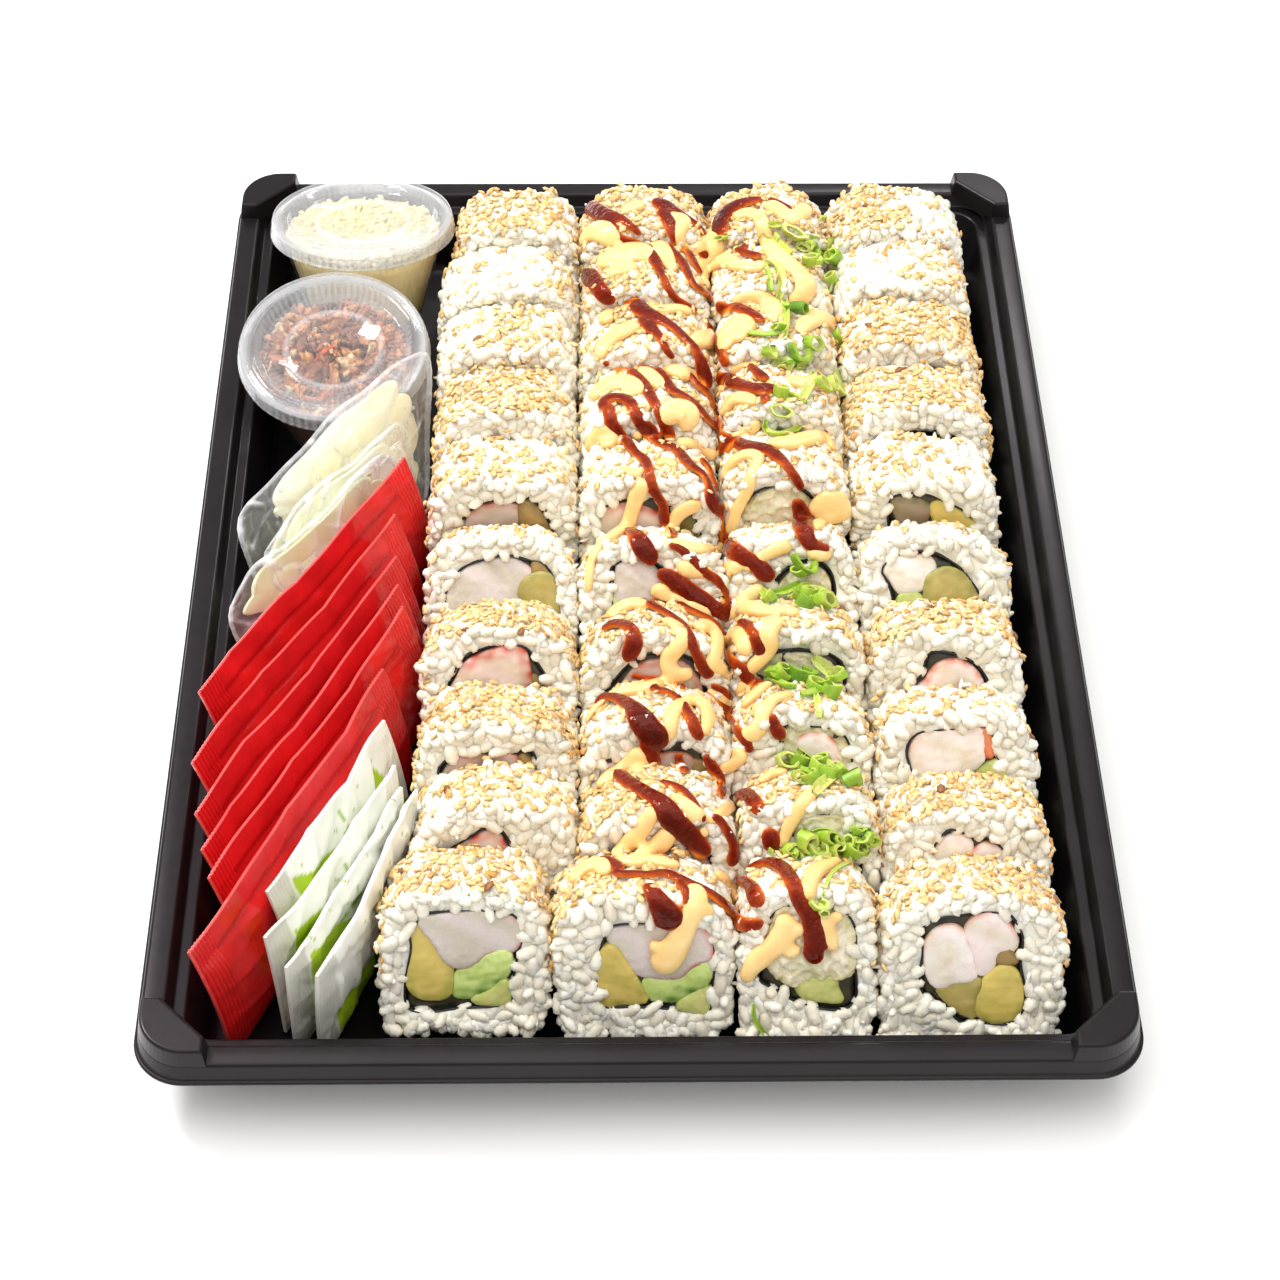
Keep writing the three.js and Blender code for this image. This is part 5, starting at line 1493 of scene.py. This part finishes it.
def fill_gratings(look):
    cup = Cup("cup_back")
    top = CUP_HEIGHT * cup.fill + 0.9
    core, faces = heap_skin(top - 1.0, lump=0.5, seed=1.0)
    make_piece("gratings_core", cup.world(core), faces, look, "pale_gratings", ["cup_back_filling"],
               tint=srgb(248, 230, 172))

    def on_top(n):
        reach = np.sqrt(rng.uniform(0, 1, n)) * (inner_radius(top) - 0.8)
        turn = rng.uniform(0, 2 * math.pi, n)
        z = top - 1.5 + rng.normal(0.0, 0.35, n) - 1.0 * (reach / 25) ** 4
        return polar(reach, turn, z), upward(n, 0.3)

    def at_wall(n):
        turn, z = rng.uniform(0, 2 * math.pi, n), rng.uniform(3, top - 2, n)
        return polar(inner_radius(z) - 0.35, turn, z), unit(polar(1, turn, -0.15))

    parts, tints = [], []
    for count, length, width, where, curl in ((1000, (3, 7.5), (1.2, 2.3), on_top, 0.3),
                                              (800, (3, 7), (1.1, 2.0), at_wall, 0.1)):
        parts.append(shreds(count, length, width, where, curl))
        tint = blend((254, 246, 208), (248, 228, 160), rng.beta(1.2, 1.6, (count, 1)))
        tints.append(np.repeat(tint, SHRED_POINTS, axis=0))
    points, faces = join(parts)
    kept_in(points, CUP_HEIGHT - 2.5)
    make_piece("gratings_loose", cup.world(points), faces, look, "pale_gratings", tint=np.concatenate(tints))


def toned(tones, shares, count, each):
    """A tone picked for each of a number of bits, repeated over the points of the bit."""
    pick = rng.choice(len(tones), count, p=shares)
    return np.repeat(np.array([srgb(*tone) for tone in tones])[pick], each, axis=0)


def crumbs(spots):
    """Irregular low-sided blobs pulled about: points, faces and the points in each."""
    shape = bead(6, 4, lambda t: (1 - abs(t) ** 2.2) ** 0.5)
    count, each = len(spots), len(shape[0])
    axes = frames_about(unit(rng.normal(size=(count, 3)) + [0, 0, 0.6]), 0.5)
    size = rng.uniform(3.0, 7.4, count) / 2
    shares = [rng.uniform(*reach, count) for reach in ((1.0, 1.7), (0.6, 1.0), (0.25, 0.6))]
    points, faces = scatter(shape, spots, axes, np.column_stack([size * share for share in shares]))
    return points + rng.normal(0, 0.13, (len(points), 3)) * np.repeat(size, each)[:, None], faces, each


def fill_crumbs(look):
    cup = Cup("cup_front")
    top = CUP_HEIGHT * cup.fill + 6.2
    ceiling = CUP_HEIGHT - 2.6

    def heap(name, points, faces, tint, replaces=()):
        make_piece(name, cup.world(points), faces, look, "fried_crumbs", replaces, tint=tint)

    core, faces = heap_skin(top - 2.0, lump=1.5, seed=2.0)
    heap("crumbs_core", core, faces, srgb(140, 90, 56), ["cup_front_filling"])
    reach = np.sqrt(rng.uniform(0, 1, CRUMBS_ON_TOP)) * (inner_radius(top) - 0.9)
    turn = rng.uniform(0, 2 * math.pi, CRUMBS_ON_TOP)
    z = top - 1.6 + rng.normal(0.2, 1.0, CRUMBS_ON_TOP) + 1.2 * np.sin(reach * np.cos(turn) * 0.3)
    upper = polar(reach, turn, z)
    turn, z = rng.uniform(0, 2 * math.pi, CRUMBS_AT_WALL), rng.uniform(2.5, top - 2, CRUMBS_AT_WALL)
    spots = np.vstack([upper, polar(inner_radius(z) - 0.5, turn, z)])
    points, faces, each = crumbs(spots)
    kept_in(points, ceiling)
    heap("crumbs_loose", points, faces, toned(CRUMB_TONES, CRUMB_SHARES, len(spots), each))

    def lying(n):
        turn = rng.uniform(0, 2 * math.pi, n)
        reach = np.sqrt(rng.uniform(0, 1, n)) * 19
        return polar(reach, turn, top - 0.3), upward(n, 0.35)

    points, faces = shreds(SLIVERS, (4, 9), (1.2, 2.6), lying, 0.3)
    points[:, 2] = np.minimum(points[:, 2], ceiling)
    heap("crumbs_slivers", points, faces, toned(SLIVER_TONES, SLIVER_SHARES, SLIVERS, SHRED_POINTS))
    axes = np.array([[[0.4, 0.9, 0.1]], [[-0.9, 0.4, 0.0]], [[0.0, -0.1, 1.0]]])
    spot, size = np.array([[-13.5, 6.0, top + 0.2]]), np.array([[6.2, 4.6, 1.5]])
    points, faces = scatter(bead(12, 9, lambda t: (1 - t * t) ** 0.5), spot, axes, size)
    heap("crumbs_red_piece", points + rng.normal(0, 0.12, points.shape), faces, srgb(150, 58, 40))


# ---- Sachets, paper packets and ginger bags -------------------------------------------------

SEAM = 0.9
BAG_SEAM = 0.7
CRIMP_PITCH = 1.3
RED_CRIMP = 0.085
PAPER_CRIMP = 0.12
# x, y of the top left corner, heading in degrees and how far the top leans behind the foot.
RED_SACHETS = [(-117.5, -66, 60.8, 8.5), (-117, -90.5, 62.2, 9), (-114.6, -107.5, 63, 9),
               (-111.8, -119.6, 64, 8.5), (-109, -129, 64.6, 7.5), (-111.8, -152.5, 65.4, 7)]
RED_SIZE = (104.0, 43.0, 5.0)
# How far up the pouch of a red sachet goes. A flat band is above it.
POUCH_TOP = 0.84
PAPER_PACKETS = [(-94.6, -131.0, 64.6, 5.2), (-93.5, -146.6, 62.0, 1.3), (-88.0, -155.0, 65.2, -0.8),
                 (-80.0, -158.1, 69.3, -2.2)]
PAPER_SIZE = (63.6, 40.0, 3.8)
# Top left, top right, foot right, foot left, thickness.
BAGS = [
    ((-117.4, 6.6, 37), (-60.6, 74.2, 49), (-61.5, 42, 3.5), (-103, -9, 2.6), 7.8),
    ((-107, -6, 38), (-66.5, 42, 46.5), (-63, 30.5, 4), (-102, -24, 2.6), 5.4),
    ((-115.6, -28.5, 38), (-69.5, 31.5, 44), (-64, 21.5, 4), (-104, -41, 2.6), 5.0),
]
# Each bag's ginger: its pale and its warm colour, and how much darker the rim of a slice is.
GINGER = [((255, 253, 238), (253, 246, 206), 0.3), ((252, 253, 236), (246, 244, 200), 0.14),
          ((236, 248, 214), (230, 239, 190), 0.14)]
GINGER_SLICES = 15
DROPS = 30


def standing(sachet, size):
    """The middle surface of a packet on its edge, over u and v from 0 to 1."""
    x, y, heading, lean = sachet
    length, height, _ = size
    heading = math.radians(heading)
    along = np.array([math.cos(heading), math.sin(heading), 0])
    behind = np.array([-math.sin(heading), math.cos(heading), 0])
    rise = math.sqrt(height ** 2 - lean ** 2)
    foot = np.array([x, y, REST_Z + SEAM / 2]) - behind * lean
    phase = x * 1.7 + y
    kink = 0.45 + 0.3 * math.sin(phase)

    def middle(u, v):
        wave = (0.7 * np.sin(u * 5 + 0.6 + x * 0.05) + 0.3 * np.sin(u * 12 + phase)
                + 0.9 * np.exp(-np.abs(u - kink) / 0.07) - 0.7 * np.exp(-np.abs(u - kink - 0.28) / 0.05))
        tall = rise + 0.6 * np.sin(u * 7 + phase) + 0.35 * np.sin(u * 19 + phase * 3)
        return (foot + along * (u * length)[..., None] + behind * (lean * v * np.abs(v) + wave * v)[..., None]
                + np.array([0, 0, 1]) * (v * tall)[..., None])

    return middle


def round_square(u, v, power=6):
    """Places in a unit square moved in from its corners."""
    a, b = 2 * u - 1, 2 * v - 1
    pull = np.maximum(np.abs(a), np.abs(b)) / np.maximum((a ** power + b ** power) ** (1 / power), 1e-6)
    return (1 + a * pull) / 2, (1 + b * pull) / 2


def slung(bag, number):
    """A bag's middle surface: round corners, and edges that wave."""
    top_left, top_right, foot_right, foot_left = (np.array(c, float) for c in bag[:4])
    up = unit(top_left - foot_left)
    out = unit(np.cross(foot_right - foot_left, up))

    def middle(u, v):
        u, v = (x[..., None] for x in round_square(u, v))
        foot, top = foot_left + (foot_right - foot_left) * u, top_left + (top_right - top_left) * u
        wave = (1.0 * np.sin(u * 8 + number) + 0.5 * np.sin(u * 19 + number * 2)) * v ** 2
        wave = wave + 0.5 * np.sin(v * 9 + number)
        ragged = (0.8 * np.sin(u * 10 + number * 2) + 0.4 * np.sin(u * 24 + number)) * v ** 6
        return foot * (1 - v) + top * v + out * wave + up * ragged

    return middle


def stations(ends, middle, share):
    """Places from 0 to 1, closer together within a share of either end."""
    fine = share * np.arange(ends) / ends
    fine[1:3] = [0.003, 0.008]
    return np.concatenate([fine, np.linspace(share, 1 - share, middle), 1 - fine[::-1]])


def normals_of(middle, u, v, step=0.01):
    across = middle(u + step, v) - middle(u - step, v)
    return unit(np.cross(across, middle(u, v + step) - middle(u, v - step)))


def pillow(middle, thickness, seam, along, up, wrinkle, full):
    """A closed pillow about a surface: points, faces, and u and v of each point."""
    columns, rows = len(along), len(up)
    u, v = np.meshgrid(along, up)
    normal = normals_of(middle, u, v)
    half = seam / 2 + (thickness - seam) / 2 * full(u, v)
    skins = [(middle(u, v) + normal * (side * half + wrinkle(u, v, side))[..., None]).reshape(-1, 3)
             for side in (1, -1)]
    count = columns * rows
    quads = grid_faces(rows, columns)
    rim = [*range(columns - 1), *range(columns - 1, count - 1, columns),
           *range(count - 1, count - columns, -1), *range(count - columns, 0, -columns)]
    faces = quads.tolist() + (quads[:, ::-1] + count).tolist()
    faces += [[a, count + a, count + b, b] for a, b in zip(rim, rim[1:] + rim[:1])]
    return np.concatenate(skins), faces, np.tile([u.ravel(), v.ravel()], 2)


def plateau(x, edge, power=0.7):
    """1 in the middle of 0 to 1, falling to 0 within an edge of either end."""
    return np.clip(np.minimum(x, 1 - x) / edge, 0, 1) ** power


def creases(u, v, seed, count, sharp):
    """Soft folds running every way, about -1 to 1."""
    total = 0
    local = np.random.default_rng(seed)
    for _ in range(count):
        angle, pitch, phase = local.uniform(0, 3.14), local.uniform(3, 11), local.uniform(0, 6.28)
        line = (u * 2.2 * math.cos(angle) + v * math.sin(angle)) * pitch + phase
        line = line + 0.6 * np.sin(u * 5 + v * 3 + phase)
        total = total + (1 - np.abs(np.sin(line))) ** sharp * local.uniform(-1, 1)
    return total / 2


def crimps(u, length, share):
    """Fine ribs within a share of either end of a packet."""
    return np.sin(u * length / CRIMP_PITCH * 2 * math.pi) * ((u < share) | (u > 1 - share))


def painted(tint, where, colour):
    """A tint with another colour in places."""
    return np.where(where[:, None], srgb(*colour), tint)


def build_red_sachets(look):
    for number, sachet in enumerate(RED_SACHETS, 1):
        length, _, thickness = RED_SIZE

        def full(u, v):
            return plateau(u, 0.16) * np.clip(np.minimum(v / 0.16, (POUCH_TOP - v) / 0.14), 0, 1) ** 0.7

        def wrinkle(u, v, side):
            fold = -side * 0.45 * np.exp(-((v - POUCH_TOP) / 0.012) ** 2) * plateau(u, 0.1)
            inside = plateau(u, 0.12) * np.clip(np.minimum(v / 0.1, (POUCH_TOP + 0.02 - v) / 0.1), 0, 1)
            crumple = 1.1 * creases(u, v, number * 7 + 1, count=8, sharp=2.0) * inside
            return 0.14 * crimps(u, length, RED_CRIMP) + fold + crumple

        points, faces, (u, v) = pillow(standing(sachet, RED_SIZE), thickness, SEAM, stations(40, 80, 0.09),
                                       stations(8, 50, 0.04), wrinkle, full)
        tint = painted(srgb(216, 30, 30), v > POUCH_TOP, (232, 34, 38))
        # A darker line along the fold at the top of the pouch: painted shade in the crease.
        line = np.exp(-((v - POUCH_TOP) / 0.01) ** 2) * (np.abs(u - 0.5) < 0.42)
        tint = tint + (srgb(156, 12, 18) - tint) * line[:, None]
        # Painted light and shade on the crimp ribs: lighter and darker in step with their ridges.
        tint = tint * (1 + 0.16 * crimps(u, length, RED_CRIMP))[:, None]
        # Painted light and shade of the crumpled film: lighter and darker along crease lines.
        tint = tint * (1 + 0.2 * creases(u, v, number * 7 + 3, count=8, sharp=1.6))[:, None]
        # Paler pink along every edge: a painted highlight on the thin edge.
        tint = painted(tint, (v > 0.996) | (u < 0.002) | (u > 0.998), (238, 84, 80)).clip(0, 1)
        make_piece(f"red_sachet_{number}", points, faces, look, "red_film", [f"sauce_packet_{number}"],
                   tint=tint)


def build_paper_packets(look):
    for number, sachet in enumerate(PAPER_PACKETS, 1):
        length, _, thickness = PAPER_SIZE

        def full(u, v):
            return plateau(u, 0.2) * plateau(v, 0.2)

        def wrinkle(u, v, side):
            inside = plateau(u, 0.1) * plateau(v, 0.1)
            crumple = 1.5 * creases(u, v, number * 5 + 40, count=10, sharp=2.0) * inside
            return 0.05 * crimps(u, length, PAPER_CRIMP) + crumple

        points, faces, (u, v) = pillow(standing(sachet, PAPER_SIZE), thickness, SEAM, stations(30, 60, 0.12),
                                       stations(8, 50, 0.04), wrinkle, full)
        tint = painted(srgb(243, 243, 236), u < 0.13, (214, 212, 204))
        # Painted light and shade on the crimp ribs, in step with their ridges.
        tint = tint * (1 + 0.025 * crimps(u, length, PAPER_CRIMP))[:, None]
        if number == 4:
            height = 0.34 - 0.12 * u
        else:
            height = 0.9 - 0.75 * (u - 0.14) + 0.42 * np.exp(-((u - 0.8) / 0.07) ** 2)
        band = v < height + 0.02 * np.sin(u * 17 + number)
        tint = painted(tint, band & (u > 0.14), (172, 204, 34))
        across, rise = (u - 0.52) * 1.59, v - 0.7
        spoke = np.abs(np.sin(np.arctan2(rise, across) * 4)) < 0.2
        ring = np.hypot(across, rise)
        marks = ((ring > 0.1) & (ring < 0.17) & spoke) | (ring < 0.055)
        marks |= (np.abs(np.sin(u * 21 + v * 9)) < 0.06) & (np.abs(np.sin(v * 13 + number)) < 0.3)
        tint = painted(tint, marks & ~band & (u > 0.16), (156, 190, 92))
        make_piece(f"paper_sachet_{number}", points, faces, look, "white_paper", [f"paper_packet_{number}"],
                   tint=tint)


def ginger_slice(middle, room, at, size, turn, face, phase, rings=14, sides=40):
    """A thin lobed slice that lies along the inside of the bag, with its rim tucked down."""
    r, a = np.meshgrid(np.linspace(0, 1, rings), np.linspace(0, 2 * math.pi, sides + 1)[:-1], indexing="ij")
    lobes = 1 + 0.12 * np.sin(3 * a + phase) + 0.05 * np.sin(7 * a + phase * 2)
    x, y = r * np.cos(a) * lobes, r * np.sin(a) * lobes * 0.8
    u = np.clip(at[0] + (x * math.cos(turn) - y * math.sin(turn)) * size[0], 0.14, 0.95)
    v = np.clip(at[1] + (x * math.sin(turn) + y * math.cos(turn)) * size[1], 0.06, 0.94)
    most = room(u, v)
    fold = 0.45 * np.sin(x * 2.6 + phase) + 0.3 * np.sin(x * 5 + y * 2 + phase * 1.7) * r
    height = face * np.clip(most * 0.94 + fold - 1.5 * r ** 5, 0, most)
    flat, normal = middle(u, v), normals_of(middle, u, v)
    skins = [(flat + normal * (height + lift)[..., None]).reshape(-1, 3) for lift in (0.3, -0.3)]
    count = r.size
    quads = grid_faces(rings, sides, wrap_columns=True)
    rim = list(range(count - sides, count))
    edges = [[b, count + b, count + a, a] for a, b in zip(rim, rim[1:] + rim[:1])]
    faces = quads[:, ::-1].tolist() + (quads + count).tolist() + edges
    return (np.concatenate(skins), faces), np.tile(r.ravel(), 2)[:, None]


def build_ginger(look, film):
    """Clear bags with slices heaped towards their right end, and drops of juice inside the film."""
    for number, (bag, (pale, warm, shaded)) in enumerate(zip(BAGS, GINGER), 1):
        middle = slung(bag, number)
        thickness = bag[4]
        last = 0.9 if number == 1 else 0.97

        def full(u, v):
            return (np.sin(np.pi * np.clip(u, 0, 1)) * np.sin(np.pi * np.clip(v, 0, 1))).clip(0) ** 0.45

        def folds(u, v, side):
            return np.abs(creases(u, v, number * 11 + (side > 0), count=9, sharp=4.0))

        def wrinkle(u, v, side):
            crimp = 0.1 * np.sin(v * 90) * ((u < 0.05) | (u > 0.95))
            return crimp + side * 1.4 * folds(u, v, side) * plateau(u, 0.06) * plateau(v, 0.06)

        def sides(v):
            edge = 0.05 * np.sin(v * 9 + number) + 0.03 * np.sin(v * 21)
            return 0.13 + edge, last - 0.03 + 0.3 * edge

        def mound(u, v):
            left, right = sides(v)
            reach = np.minimum((u - left) / 0.16, (right - u) / 0.14)
            return np.clip(np.minimum(reach, np.minimum(v - 0.05, 0.95 - v) / 0.14), 0, 1) ** 0.6

        def room(u, v):
            return mound(u, v) * ((thickness / 2 - 0.8) * full(u, v)) + 0.05

        def swell(u, v, side):
            return side * room(u, v) * (0.8 + 0.25 * np.sin(u * 15 + v * 4 + number)
                                        * np.sin(v * 7 + u * 5 + side))

        def spot(s, t):
            s, t = round_square(s, t)
            left, right = sides(0.05 + 0.9 * t)
            return left + (right - left) * s, 0.05 + 0.9 * t

        points, faces, (u, v) = pillow(middle, thickness, BAG_SEAM, stations(12, 120, 0.05),
                                       stations(8, 80, 0.05), wrinkle, full)
        rim = (u < 0.012) | (u > 0.988) | (v > 0.985) | (v < 0.015)
        # Milky white of the film: a faint haze all over and at the sealed rim, and painted highlight along
        # the folds.
        mist = 0.07 + 1.0 * np.clip(folds(u, v, 1) - 0.2, 0, 1) + 0.26 * rim
        make_piece(f"ginger_film_{number}", points, faces, film, "clear_plastic", [f"ginger_bag_{number}"],
                   tint=mist.clip(0, 0.6)[:, None])
        inner, skins, _ = pillow(lambda s, t: middle(*spot(s, t)), 0.5, 0.5, np.linspace(0, 1, 100),
                                 np.linspace(0, 1, 70), lambda s, t, side: swell(*spot(s, t), side), mound)
        parts, tints = [(inner, skins)], [np.tile(blend(pale, warm, 0.6), (len(inner), 1))]
        for i in range(GINGER_SLICES):
            at = rng.uniform(0.36, last - 0.14), rng.uniform(0.25, 0.75)
            size = rng.uniform(0.14, 0.22), rng.uniform(0.22, 0.36)
            part, r = ginger_slice(middle, room, at, size, rng.uniform(0, 3.14), rng.choice([-1, 1]), i * 1.3)
            parts.append(part)
            tints.append(blend(pale, warm, rng.uniform(0, 1)) * (1 - shaded * r ** 5 * [0.6, 0.8, 1.3]))
        make_piece(f"ginger_slices_{number}", *join(parts), look, "pickled_ginger",
                   tint=np.concatenate(tints))
        u, v = rng.uniform(0.06, 0.92, DROPS), rng.uniform(0.1, 0.92, DROPS)
        normal = normals_of(middle, u, v)
        side = np.sign(normal @ (CAMERA_AT - middle(u[:1], v[:1])[0]))[:, None]
        spots = middle(u, v) + normal * side * ((thickness / 2) * full(u, v) - 0.2)[:, None]
        size = rng.uniform(0.4, 0.9, DROPS)
        points, faces = scatter(bead(10, 6, lambda t: (1 - t * t) ** 0.5), spots, frames_about(normal, 0.05),
                                np.column_stack([size, size, size * 0.6]))
        make_piece(f"ginger_drops_{number}", points, faces, film, "clear_plastic", tint=0.2)


# ---- Stage ----------------------------------------------------------------------------------

FLOOR_REACH = 4.0
FLOOR_Z = -0.0004
# Area lights, in metres: place, aim, size and power.
LIGHTS = {
    "key": ((-0.2, -0.05, 1.3), (0, 0, 0), (1.5, 1.5), 13),
    "fill": ((0.5, -1.1, 1.0), (0, 0, 0.02), (0.9, 0.9), 2.4),
    "glint": ((-0.55, 0.3, 0.9), (0, 0, 0.04), (0.22, 0.22), 7),
    "glint_back": ((0.25, 0.85, 0.75), (0, 0, 0.04), (0.24, 0.1), 1.7),
}


def add_floor():
    mesh = bpy.data.meshes.new("floor")
    corners = [(x * FLOOR_REACH, y * FLOOR_REACH, 0) for x, y in ((-1, -1), (1, -1), (1, 1), (-1, 1))]
    mesh.from_pydata(corners, [], [(0, 1, 2, 3)])
    mesh.materials.append(plain_look("floor"))
    floor = add_object("floor", mesh)
    floor.location.z = FLOOR_Z


def add_studio():
    """A soft sky, brighter overhead, and the lights."""
    world = bpy.data.worlds.new("studio")
    world.use_nodes = True
    nodes, links = world.node_tree.nodes, world.node_tree.links
    place, height, rise = (nodes.new("ShaderNode" + kind) for kind in ("TexCoord", "SeparateXYZ", "MapRange"))
    links.new(place.outputs["Generated"], height.inputs[0])
    links.new(height.outputs[2], rise.inputs[0])
    rise.inputs[3].default_value, rise.inputs[4].default_value = 0.5, 0.85
    links.new(rise.outputs[0], nodes["Background"].inputs["Strength"])
    nodes["Background"].inputs["Color"].default_value = (1.0, 0.985, 0.965, 1)
    scene.world = world
    for name, (at, aim, size, power) in LIGHTS.items():
        data = bpy.data.lights.new(name, "AREA")
        data.shape = "RECTANGLE"
        data.size, data.size_y = size
        data.energy = power
        light = add_object(name, data)
        light.location = at
        light.rotation_euler = (Vector(aim) - Vector(at)).to_track_quat("-Z", "Y").to_euler()


add_camera()
add_floor()
add_studio()
scene.cycles.transparent_max_bounces = 24
scene.view_settings.view_transform = "Standard"
settle_faces()
build_tray(plain_look("tray_plastic"))
build_cores(plain_look("rice_core"))
build_nori(plain_look("nori"))
build_fillings()
GRAINS = build_rice(tinted_look("rice"))
build_sesame(tinted_look("sesame", share=SESAME_SHARE), GRAINS)
SKIN = skin_surface()
for sauce in SAUCES:
    build_sauce(sauce, SKIN)
build_scallions(tinted_look("scallion"), SKIN)
build_cups(clear_look("cup_plastic", power=3.0, least=0.035))
fill_gratings(tinted_look("gratings"))
fill_crumbs(tinted_look("crumbs"))
build_red_sachets(tinted_look("red_film"))
build_paper_packets(tinted_look("paper"))
build_ginger(tinted_look("ginger"), clear_look("bag_film", power=2.8, least=0.05))
